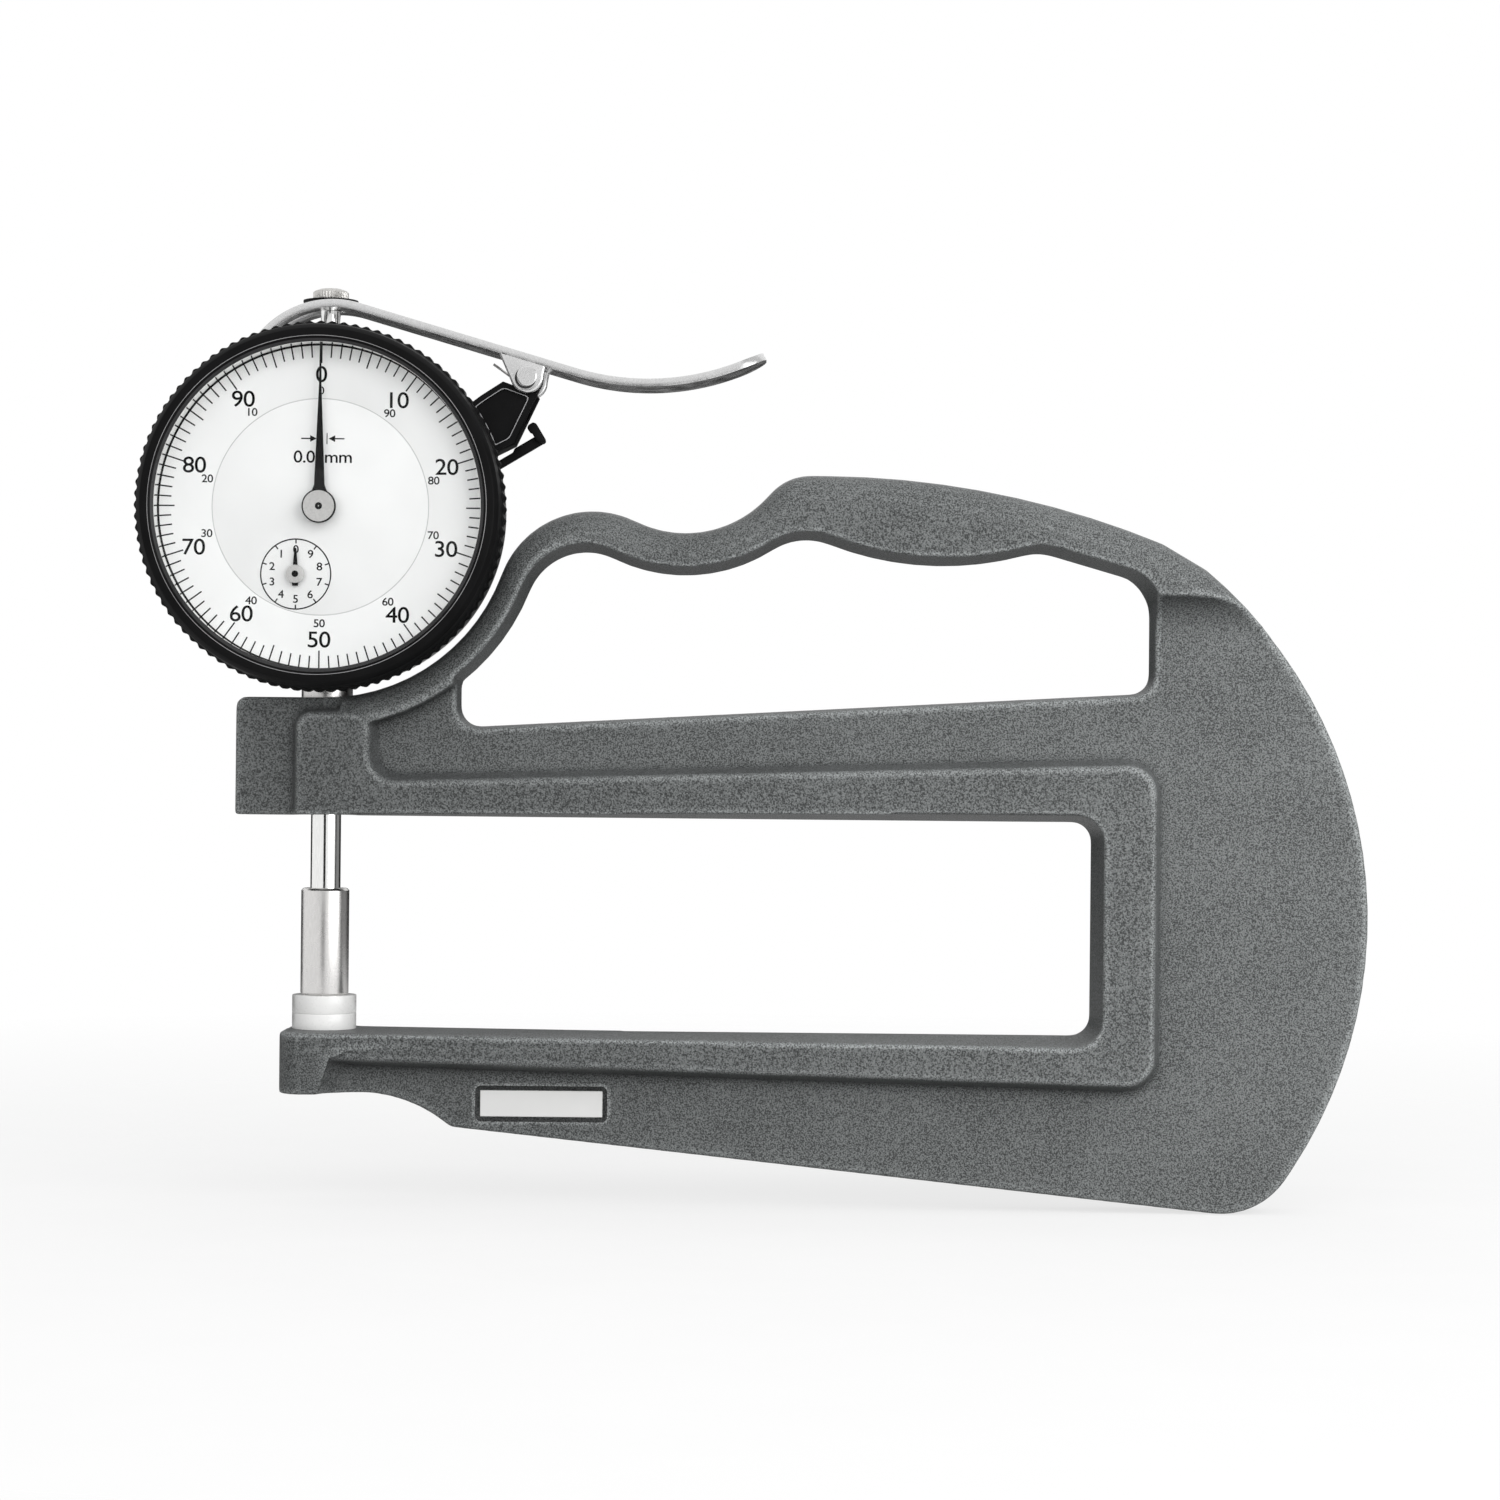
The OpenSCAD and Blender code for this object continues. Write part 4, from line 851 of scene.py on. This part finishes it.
@dataclass
class DialFace:
    """Printed dial, turning scale and hands."""

    front: float = 11.5
    thick: float = 0.6
    print_gap: float = 0.015
    dial_r: float = 16.6
    ring_in: float = 16.7
    ring_out: float = 26.4
    joint_w: float = 0.14
    tick_out: float = 24.9
    tick_in: float = 22.95
    half_in: float = 22.4
    main_in: float = 22.1
    tick_w: float = 0.22
    number_r: float = 20.4
    number_h: float = 2.45
    reverse_r: float = 17.9
    reverse_h: float = 1.2
    leaned: tuple[int, ...] = (2, 3, 7, 8)
    lean: float = 0.76
    edge_line: float = 24.85
    edge_w: float = 0.12
    line_w: float = 0.2
    unit_at: Point = (0.3, 7.7)
    unit_h: float = 1.86
    arrows: tuple[Point, ...] = ((-0.66, -3.05), (1.18, 3.6))
    arrow_level: float = 10.5
    arrow_half: float = 0.52
    bars: Point = (0.0, 0.93)
    bar_half: float = 0.85
    bar_w: float = 0.14
    counter: Point = (-3.6915, -10.362)
    counter_r: float = 5.38
    counter_tick: float = 0.68
    digit_r: float = 3.83
    digit_h: float = 1.2
    pointer_tip: float = 25.0
    pointer_z: Point = (13.0, 13.3)
    hub_top: float = 14.02
    hub_edge: float = 13.9
    needle_z: Point = (12.1, 12.3)

    def build(self) -> None:
        """Makes the dial, its print and the hands."""
        self.add_disc("dial_disc", 0, self.dial_r, Body.FRAME, "centre_dial")
        self.add_disc("scale_disc", self.ring_in, self.ring_out, Body.BEZEL, "scale_ring")
        add_piece("scale_print", on_dial(joined(self.scale_print())), INK, Body.BEZEL)
        add_piece("dial_print", on_dial(joined(self.dial_print())), INK, Body.FRAME)
        joint_r = (self.dial_r + self.ring_in) / 2
        joint = hoop((0, 0), joint_r, self.joint_w, self.front - 0.01, ROUND_STEPS)
        add_piece("dial_joint", on_dial(joint), JOINT, Body.FRAME)
        self.add_hands()
        self.add_counter_hand()

    def add_disc(self, name: str, inner: float, outer: float, body: Body, node: str) -> None:
        """Adds a flat white disc or ring."""
        profile = eased(section(inner, outer, self.front - self.thick, self.front), 0.05, inner > 0)
        if inner > 0:
            profile.append(profile[0])
        add_piece(name, on_dial(turned(profile, ROUND_STEPS)), DIAL, body, [node])

    def scale_print(self) -> list[Mesh]:
        """Hundred divisions with numbers both ways round."""
        depth = self.front + self.print_gap
        shapes = []
        for i in range(100):
            inner = self.main_in if i % 10 == 0 else self.half_in if i % 5 == 0 else self.tick_in
            angle = 90 - 3.6 * i
            shapes.append(stroke(polar(angle, inner), polar(angle, self.tick_out), self.tick_w, depth))
        for i in range(10):
            angle = 90 - 36 * i
            shapes.append(lettering(str(10 * i), self.number_h, polar(angle, self.number_r), depth))
            reverse = str(100 - 10 * i) if i else "0"
            share = self.lean if i in self.leaned else 1.0
            flatter = math.degrees(math.asin(share * math.sin(math.radians(angle))))
            angle = flatter if math.cos(math.radians(angle)) > -0.01 else 180 - flatter
            shapes.append(lettering(reverse, self.reverse_h, polar(angle, self.reverse_r), depth))
        shapes.append(hoop((0, 0), self.edge_line, self.edge_w, depth, LINE_STEPS))
        return shapes

    def dial_print(self) -> list[Mesh]:
        """Division mark and the counter's circle."""
        depth = self.front + self.print_gap
        level, half = self.arrow_level, self.arrow_half
        shapes = [lettering("0.01mm", self.unit_h, self.unit_at, depth)]
        for tip, tail in self.arrows:
            neck = tip + math.copysign(1.0, tail)
            shapes.append(stroke((tail, level), (neck, level), self.line_w, depth))
            shapes.append(flat([(tip, level), (neck, level - half), (neck, level + half)], depth))
        for x in self.bars:
            ends = [(x, level + side * self.bar_half) for side in (-1, 1)]
            shapes.append(stroke(*ends, self.bar_w, depth))
        shapes.append(hoop(self.counter, self.counter_r, self.line_w, depth))
        for i in range(10):
            angle = 90 + 36 * i
            start = self.around_counter(angle, self.counter_r - self.counter_tick)
            shapes.append(stroke(start, self.around_counter(angle, self.counter_r), self.line_w, depth))
            shapes.append(lettering(str(i), self.digit_h, self.around_counter(angle, self.digit_r), depth))
        return shapes

    def around_counter(self, angle: float, radius: float) -> Point:
        """Point about the counter's axis."""
        x, y = polar(angle, radius)
        return self.counter[0] + x, self.counter[1] + y

    def add_hands(self) -> None:
        """Adds the pointer and its hub."""
        blade = extruded(mirrored([
            (-1.5, -1.6), (-2.2, 0), (-2.0, 1.4), (-1.15, 2.4), (-0.8, 3.3), (-0.19, 18.5),
            (-0.1, self.pointer_tip),
        ]), *self.pointer_z)
        soften(blade, 0.05, 1)
        add_piece("pointer_blade", on_dial(blade), INK, Body.POINTER, ["pointer"])
        dress_copy("centre_arbor", HUB, 0.06, Body.POINTER)
        # Painted shade: a black rim for the shade round the hub's edge, and a black disc for the shade in
        # its centre hole.
        low, top, edge = self.pointer_z[1], self.hub_top, self.hub_edge
        rim = turned(eased([(2.32, low), (2.6, low), (2.6, top), (2.4, top), (2.32, edge)], 0.04))
        add_piece("hub_shade_rim", on_dial(rim), INK, Body.POINTER)
        dot = turned(eased([(0.1, top), (0.56, top), (0.56, edge)], 0.05), 48)
        add_piece("hub_hole_shade", on_dial(dot), INK, Body.POINTER)

    def add_counter_hand(self) -> None:
        """Adds the counter's small hand, its pale hub and the dark end of its arbor."""
        needle = extruded(
            mirrored([(-0.42, -1.85), (-0.5, -1.2), (-0.36, 1.3), (-0.14, 4.0)]), *self.needle_z,
        )
        soften(needle, 0.04, 1)
        self.add_on_counter("counter_needle", needle, INK, ["counter_hand"])
        for name, radius, top, finish in (
            ("counter_hub", 1.4, 12.55, HUB), ("counter_pip", 0.5, 12.68, INK),
        ):
            disc = turned(eased([(0, top), (radius, top), (radius, self.needle_z[0])], 0.06), 48)
            self.add_on_counter(name, disc, finish)

    def add_on_counter(
        self, name: str, bm: Mesh, finish: Finish, nodes: Sequence[str] = (),
    ) -> None:
        """Adds a piece drawn about the counter's axis."""
        bmesh.ops.translate(bm, verts=bm.verts, vec=(*self.counter, 0))
        add_piece(name, on_dial(bm), finish, Body.COUNTER, nodes)


@dataclass
class BezelGroup:
    """Scalloped bezel, reflecting ring and crystal."""

    outer: float = 28.5
    scallops: int = 100
    facets: int = 8
    scallop_depth: float = 0.35
    back: float = 8.2
    band_step: float = 0.6
    band_front: float = 13.2
    front: float = 16.4
    ease: float = 0.12
    lip: float = 24.95
    lip_h: float = 0.08
    lip_w: float = 0.1
    slope_top: float = 25.45
    slope_drop: float = 0.2
    land: float = 25.8
    land_w: float = 0.08
    seat: float = 26.45
    crystal_back: float = 14.6
    crystal_front: float = 15.8
    crystal_gap: float = 0.05
    crystal_ease: float = 0.15
    dial_front: float = 11.5
    cone: float = 24.88
    film: float = 0.02

    def build(self) -> None:
        """Makes the ring, the reflector and the crystal."""
        add_piece("bezel_ring", on_dial(self.ring()), BLACK, Body.BEZEL, ["bezel"], crease=50)
        low = self.crystal_front + self.film
        # Painted reflection: the bezel's inner slope is its own black, drawn dark grey for the reflection it
        # shows.
        slope = turned([
            (self.lip, low), (self.lip, self.crystal_front + self.lip_h),
            (self.slope_top, self.front - self.slope_drop), (self.slope_top, low),
        ], ROUND_STEPS)
        add_piece("bezel_slope", on_dial(slope), PAINTED_SHEEN_AND_SHADOW, Body.BEZEL)
        # Painted highlight: a pale line on the bezel's face at the edge of its land.
        line = hoop((0, 0), self.land + 0.06, self.land_w, self.front + 0.01, LINE_STEPS)
        add_piece("bezel_line", on_dial(line), PAINTED_HIGHLIGHT, Body.BEZEL)
        lip = hoop((0, 0), self.lip + self.film, self.lip_w, self.crystal_front + 0.09, LINE_STEPS)
        add_piece("lip_line", on_dial(lip), NICKEL, Body.BEZEL)
        base = self.dial_front + self.film
        rim = self.seat - 0.1
        reflector = turned(eased([
            (self.cone, base), (self.cone + 0.24, self.crystal_back - 0.1),
            (self.cone + 0.32, self.crystal_back), (rim, self.crystal_back), (rim, base),
        ], 0.04, True), ROUND_STEPS)
        add_piece("reflector", on_dial(reflector), NICKEL, Body.BEZEL, ["spacer_ring"])
        disc = section(0, self.seat - self.crystal_gap, self.crystal_back, self.crystal_front)
        glass = turned(eased(disc, self.crystal_ease), ROUND_STEPS)
        crystal = add_piece("crystal_disc", on_dial(glass), CRYSTAL, Body.BEZEL, ["crystal"])
        crystal.visible_shadow = False

    def ring(self) -> Mesh:
        """Ring whose outer band is cut into scallops."""
        profile = eased([
            (self.seat, self.back), (self.outer - 0.2, self.back), (self.outer, self.back + 0.25),
            (self.outer, self.band_front - 0.3), (self.outer - 0.45, self.band_front),
            (self.outer - 0.55, self.band_front + 0.5), (self.outer - 0.8, self.front - 0.9),
            (self.outer - 1.5, self.front), (self.land, self.front),
            (self.slope_top + 0.05, self.front - 0.15), (self.slope_top, self.front - self.slope_drop),
            (self.slope_top, self.crystal_front), (self.seat, self.crystal_front),
        ], self.ease, True)
        bm = turned([*profile, profile[0]], self.scallops * self.facets)
        inner = self.outer - self.band_step
        cut_waves(bm, self.scallops, self.scallop_depth, inner, self.band_front + 0.1)
        return bm


@dataclass
class Spindle:
    """Plunger with its sleeve, ceramic tip, lifting washer and cap."""

    tip_r: float = 5.0
    tip_h: float = 2.8
    sleeve_r: float = 3.75
    sleeve_top: float = 19.5
    washer_low: float = 111.25
    washer_t: float = 0.35
    washer_r: float = 4.3
    washer_bore: float = 1.6
    cap_r: float = 2.8
    cap_h: float = 1.9
    knurls: int = 36
    knurl_depth: float = 0.168

    def build(self) -> None:
        """Makes the spindle's pieces from the measuring face up."""
        tip = turned(eased(section(0, self.tip_r, 0, self.tip_h), 0.1))
        add_piece("tip_disc", tip, CERAMIC, Body.SPINDLE, ["contact_tip"])
        low, top, radius = self.tip_h, self.sleeve_top, self.sleeve_r
        sleeve = turned(eased([
            (0, low + 0.01), (radius - 0.25, low + 0.01), (radius, low + 0.3),
            (radius, top - 0.35), (radius - 0.35, top), (0, top),
        ], 0.1))
        add_piece("sleeve", sleeve, STEEL, Body.SPINDLE, ["contact_sleeve"], crease=20)
        dress_copy("plunger", NICKEL, 0.08, Body.SPINDLE)
        dress_nodes(["guide_pin"], STEEL)
        span = (self.washer_low, self.washer_low + self.washer_t)
        washer = turned(eased(section(self.washer_bore, self.washer_r, *span), 0.06))
        add_piece("washer", washer, BLACK, Body.SPINDLE, ["lift_washer"])
        add_piece("cap", self.cap(), KNURLED, Body.SPINDLE, ["lift_cap"], crease=25)

    def cap(self) -> Mesh:
        """Domed cap with a straight knurl."""
        low = self.washer_low + self.washer_t
        top = low + self.cap_h
        radius = self.cap_r
        bm = turned([
            (0, low), (radius - 0.2, low), (radius, low + 0.2), (radius, top - 0.7),
            (radius - 0.25, top - 0.45), (radius * 0.6, top - 0.12), (0, top),
        ], self.knurls * 4)
        cut_waves(bm, self.knurls, self.knurl_depth, radius - 0.1, top)
        return bm


@dataclass
class LiftingLever:
    """Lifting lever on its holder, with the spring and the bezel clamp."""

    half_w: float = 5.75
    bevel_line: float = 5.1
    mid_line: float = 3.0
    thick: float = 1.2
    crest: Point = (1.0, 96.2)
    crest_r: float = 15.0
    fork_side: float = 140.0
    slope: float = 16.2
    straight: float = 35.0
    thumb_r: float = 39.0
    thumb_side: float = -62.2
    pivot: Point = (31.197, 99.494)
    shadow_at: Point = (30.977, 99.214)
    shadow_r: float = 1.48
    shadow_w: float = 0.36
    fork_end: float = 2.2
    fork_half: float = 1.75
    window: float = 2.9
    ear_t: float = 1.3
    ear_r: float = 2.6
    ear_left: float = 4.7
    ear_right: float = 3.0
    holder_half: float = 4.2
    holder_base: float = 27.4
    holder_sides: Point = (19.5, 37.0)
    holder_rise: float = 2.6
    holder_border: float = 0.9
    hook_start: Point = (25.2, 85.4)
    hook_slope: float = 31.0
    hook_r: float = 0.8
    tab_half: float = 1.7
    end_round: float = 4.0

    def build(self) -> None:
        """Makes the lever, its holder and the clamp."""
        lever = joined([self.plate(), *self.ears()])
        add_piece("lever_plate", lever, PLATED, Body.LEVER, ["lever"], crease=30)
        dress_copy("pivot_pin", PLATED, 0.15, Body.LEVER)
        dress_copy("lever_holder", BLACK, 0.2)
        # Painted highlight round the holder's recessed panel.
        add_piece("holder_panel_highlight", upright(self.bead()), PAINTED_HIGHLIGHT, Body.FRAME)
        # Painted shadow: a dark ring round the pin's head on the lever's ear.
        shadow = hoop(self.shadow_at, self.shadow_r, self.shadow_w, self.half_w + 0.01, 64)
        add_piece("pin_shadow", upright(shadow), PAINTED_SHEEN_AND_SHADOW, Body.LEVER)
        dress_copy("holder_screw", BLUED, 0.1)
        dress_copy("lever_spring", STEEL, 0.02)
        add_piece("clamp_hook", self.hook(), BLACK, Body.CLAMP, ["bezel_clamp"], crease=30)

    def side_line(self) -> list[Point]:
        """Upper edge of the lever from the fork to the thumb end, in X and Z."""
        crest = arc(self.crest, self.crest_r, self.fork_side, 90 - self.slope, 28)
        along = Vector(polar(-self.slope, self.straight))
        centre = Vector(crest[-1]) + along + Vector(polar(90 - self.slope, self.thumb_r))
        return crest + arc(tuple(centre), self.thumb_r, -90 - self.slope, self.thumb_side, 36)

    def plate(self) -> Mesh:
        """Bent plate with the fork, the window over the pin and a round thumb end."""
        line = self.refined(self.side_line())
        rows = [-self.half_w, -self.bevel_line, self.ear_t - self.half_w, -self.mid_line, -self.fork_half, 0]
        rows += [-y for y in reversed(rows[:-1])]
        end = line[-1][0]
        round_from = end - self.end_round
        bm = bmesh.new()
        grid = []
        for x, z in line:
            ahead = max(0.0, x - round_from) / self.end_round
            width = 1 - (1 - math.sqrt(max(0.0, 1 - ahead * ahead))) * self.end_round / self.half_w
            grid.append([bm.verts.new((x, y * width, z)) for y in rows])
        for i in range(len(grid) - 1):
            middle = (line[i][0] + line[i + 1][0]) / 2
            for k in range(len(rows) - 1):
                across = abs(rows[k] + rows[k + 1]) / 2
                in_fork = middle < self.fork_end and across < self.fork_half
                in_window = abs(middle - self.pivot[0]) < self.window and across < self.half_w - self.ear_t
                if not in_fork and not in_window:
                    bm.faces.new((grid[i][k], grid[i + 1][k], grid[i + 1][k + 1], grid[i][k + 1]))
        stray = [vert for vert in bm.verts if not vert.link_faces]
        bmesh.ops.delete(bm, geom=stray, context="VERTS")
        bmesh.ops.recalc_face_normals(bm, faces=bm.faces)
        if sum(face.normal.z for face in bm.faces) < 0:
            bmesh.ops.reverse_faces(bm, faces=bm.faces)
        bmesh.ops.solidify(bm, geom=bm.faces[:], thickness=self.thick)
        soften(bm, 0.22, 3, 40)
        return bm

    def refined(self, line: Sequence[Point]) -> list[Point]:
        """Line with points added where the fork and the window end and round the thumb end."""
        end = line[-1][0]
        wanted = [self.fork_end, self.pivot[0] - self.window, self.pivot[0] + self.window]
        wanted += [end - self.end_round * (1 - math.sin(math.radians(a))) for a in range(0, 80, 10)]
        made = list(line)
        for x in wanted:
            for (x0, z0), (x1, z1) in zip(line, line[1:]):
                if x0 + 0.05 < x < x1 - 0.05:
                    made.append((x, z0 + (z1 - z0) * (x - x0) / (x1 - x0)))
        return sorted(made)

    def ears(self) -> list[Mesh]:
        """Two ears that carry the pin."""
        lean = math.tan(math.radians(self.slope))
        x = self.pivot[0]
        start = Vector(self.crest) + Vector(polar(90 - self.slope, self.crest_r - self.thick / 2))
        top = start.y - (x - start.x) * lean
        outline = arc(self.pivot, self.ear_r, 200, 360, 24)
        outline += [(x + ahead, top - ahead * lean) for ahead in (self.ear_right, -self.ear_left)]
        inner = self.half_w - self.ear_t
        made = []
        for low, high in ((inner, self.half_w), (-self.half_w, -inner)):
            bm = upright(extruded(outline, low, high))
            soften(bm, 0.42, 4, 40)
            made.append(bm)
        return made

    def bead(self) -> Mesh:
        """Painted highlight round the edge of the holder's recessed panel, drawn in X and Z."""
        x, z = self.pivot
        low, high = self.holder_sides
        base = arc((0, DIAL_Z), self.holder_base, low, high, 6)
        rise = polar(high, self.holder_base + self.holder_rise)
        outline = [
            *base, (rise[0], DIAL_Z + rise[1]), (x - 3.8, z - 0.7), (x + 1.5, z - 2.6), (x - 2.1, z - 10.2),
        ]
        rows = [eased(inset(outline[::-1], self.holder_border + w), 0.5, True) for w in (-0.06, 0.06)]
        return strip(*rows, (self.holder_half + 0.01,) * 2)

    def hook(self) -> Mesh:
        """Clamp's arm with a thin neck, and its turned-up tab."""
        r = self.hook_r
        arm = extruded([
            (0, -r), (9.4, -r), (9.9, -0.4), (9.9, 0.5), (9.2, r), (4.9, r), (4.5, r - 0.4), (0, r - 0.4),
        ], -r, r)
        tab = extruded([
            (9.3, -r), (9.75, -0.65), (9.9, -0.2), (9.9, 2.4), (9.55, 2.8), (8.7, 2.8), (8.3, 2.45),
            (8.3, 1.85), (8.55, 1.6), (8.55, -0.2),
        ], -self.tab_half, self.tab_half)
        for bm in (arm, tab):
            soften(bm, 0.22, 3, 20)
        bm = upright(joined([arm, tab]))
        turn = Matrix.Rotation(math.radians(-self.hook_slope), 4, "Y")
        place = Matrix.Translation((self.hook_start[0], 0, self.hook_start[1]))
        bmesh.ops.transform(bm, matrix=place @ turn, verts=bm.verts)
        return bm


@dataclass(frozen=True)
class Card:
    """Upright grey card that only reflections show.

    Attributes:
        name: Name of the card.
        place: Middle of the card.
        along: Width of the card, as a vector in X and Y.
        high: Height of the card.
        tone: Brightness of the card.
    """

    name: str
    place: Spot
    along: Point
    high: float
    tone: float

    def add(self) -> None:
        """Adds the card to the stage."""
        half = Vector((*self.along, 0)) / 2
        rise = Vector((0, 0, self.high / 2))
        middle = Vector(self.place)
        corners = [middle - half - rise, middle + half - rise, middle + half + rise, middle - half + rise]
        bm = bmesh.new()
        bm.faces.new([bm.verts.new(corner * MM) for corner in corners])
        card = placed(self.name, bm)
        card.visible_camera = False
        card.visible_diffuse = False
        card.visible_transmission = False
        card.visible_shadow = False
        material = bpy.data.materials.new(self.name)
        graph = Graph(material)
        glow = graph.add("ShaderNodeEmission", {"Color": WHITE, "Strength": self.tone})
        graph.feed(OUTPUT, {"Surface": glow.outputs[0]})
        card.data.materials.append(material)
        card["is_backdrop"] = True


@dataclass(frozen=True)
class Lamp:
    """Soft square lamp aimed at the middle of the object.

    Attributes:
        name: Name of the lamp.
        place: Where it stands.
        size: Length of a side.
        power: Power in watts.
        in_mirrors: Whether metal reflects it.
    """

    name: str
    place: Spot
    size: float
    power: float
    in_mirrors: bool = False

    def add(self) -> None:
        """Adds the lamp to the scene."""
        data = bpy.data.lights.new(self.name, "AREA")
        data.size = self.size * MM
        data.energy = self.power
        lamp = add_object(self.name, data)
        lamp.location = Vector(self.place) * MM
        aim = Vector(MIDDLE) * MM - lamp.location
        lamp.rotation_euler = aim.to_track_quat("-Z", "Y").to_euler()
        lamp.visible_glossy = self.in_mirrors


CARDS = (
    Card("centre_card", (-30, -790, -60), (240, 0), 300, 0.02),
    Card("front_card", (66, -800, 260), (1500, 0), 320, 0.85),
    Card("tip_card", (355, -150, 310), (410, 540), 240, 0.5),
    Card("right_card", (520, 185, 40), (0, 530), 500, 0.24),
    Card("back_card", (66, 430, -130), (1500, 0), 560, 0.03),
)
LAMPS = (
    Lamp("front", (90, -900, 230), 1000, 5.25),
    Lamp("key", (480, -400, 240), 560, 2.2, in_mirrors=True),
    Lamp("fill", (-360, -600, 240), 520, 0.6),
    Lamp("top", (160, -60, 640), 420, 0.3),
    Lamp("rim", (160, 560, 300), 480, 0.3),
)


@dataclass
class Studio:
    """Camera, floor, lamps and the pale surround."""

    camera_place: Spot = (66.4, -570.0, 41.76)
    lens: float = 87.2
    sensor: float = 36.0
    roll: float = 0.55
    floor_r: float = 900.0
    floor_gap: float = 0.05
    floor_white: float = 0.72
    fade: Point = (0.09, 0.42)
    ambient: float = 0.62
    ambient_low: float = 0.03
    dome: Point = (0.2, -0.9)

    def build(self, low: Vector) -> None:
        """Sets up the stage under the object's lowest point."""
        self.add_camera()
        self.add_floor(low.z / MM - self.floor_gap)
        self.add_surround()
        for item in (*CARDS, *LAMPS):
            item.add()

    def add_camera(self) -> None:
        """Adds the camera at the photograph's place."""
        data = bpy.data.cameras.new("camera")
        data.lens = self.lens
        data.sensor_width = self.sensor
        data.clip_start = 0.01
        camera = add_object("camera", data)
        turn = UPRIGHT @ Matrix.Rotation(math.radians(self.roll), 4, "Z")
        camera.matrix_world = Matrix.Translation(Vector(self.camera_place) * MM) @ turn
        bpy.context.scene.camera = camera

    def add_floor(self, level: float) -> None:
        """Adds a pale floor that fades out into the surround."""
        centre = Vector((MIDDLE[0], 0, level)) * MM
        bm = bmesh.new()
        bmesh.ops.create_circle(bm, cap_ends=True, segments=96, radius=self.floor_r * MM)
        bmesh.ops.translate(bm, verts=bm.verts, vec=centre)
        floor = placed("floor", bm)
        floor.visible_diffuse = False
        floor.data.materials.append(self.floor_material(centre))
        floor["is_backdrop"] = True

    def floor_material(self, centre: Vector) -> bpy.types.Material:
        """Pale and matt round a centre, and clear further out."""
        material = bpy.data.materials.new("floor")
        graph = Graph(material)
        far = graph.add("ShaderNodeVectorMath", {0: graph.place, 1: centre}, operation="DISTANCE")
        fade = graph.spread(far.outputs["Value"], 1.0, 0.0, *self.fade)
        tone = graph.ramp(graph.noise(20.0), [(0.3, (0.90,) * 3), (0.7, (0.93,) * 3)])
        matt = graph.add("ShaderNodeBsdfDiffuse", {"Color": tone})
        white = graph.add("ShaderNodeEmission", {"Color": WHITE, "Strength": 1.0})
        pale = graph.mix(graph.combine("MULTIPLY", graph.seen(), self.floor_white), matt, white)
        clear = graph.add("ShaderNodeBsdfTransparent")
        graph.feed(OUTPUT, {"Surface": graph.mix(fade, clear, pale).outputs[0]})
        return material

    def add_surround(self) -> None:
        """White where the camera, glass or metal sees it, and a soft light from above elsewhere."""
        world = bpy.data.worlds.new("surround")
        bpy.context.scene.world = world
        graph = Graph(world)
        ray = graph.add("ShaderNodeSeparateXYZ", {0: graph.add("ShaderNodeNewGeometry").outputs["Incoming"]})
        dome = graph.spread(ray.outputs["Z"], self.ambient_low, self.ambient, *self.dome)
        level = graph.spread(graph.seen(), dome, 1.0, 0.0, 1.0)
        graph.feed("Background", {"Color": WHITE, "Strength": level})


def main() -> None:
    """Builds every group and the stage."""
    logging.basicConfig(level=logging.INFO)
    cad_low, cad_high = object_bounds()
    for group in (CastFrame(), Indicator(), DialFace(), BezelGroup(), Spindle(), LiftingLever()):
        group.build()
    Studio().build(cad_low)
    bpy.context.scene.view_settings.view_transform = "Standard"


if __name__ == "__main__":
    main()
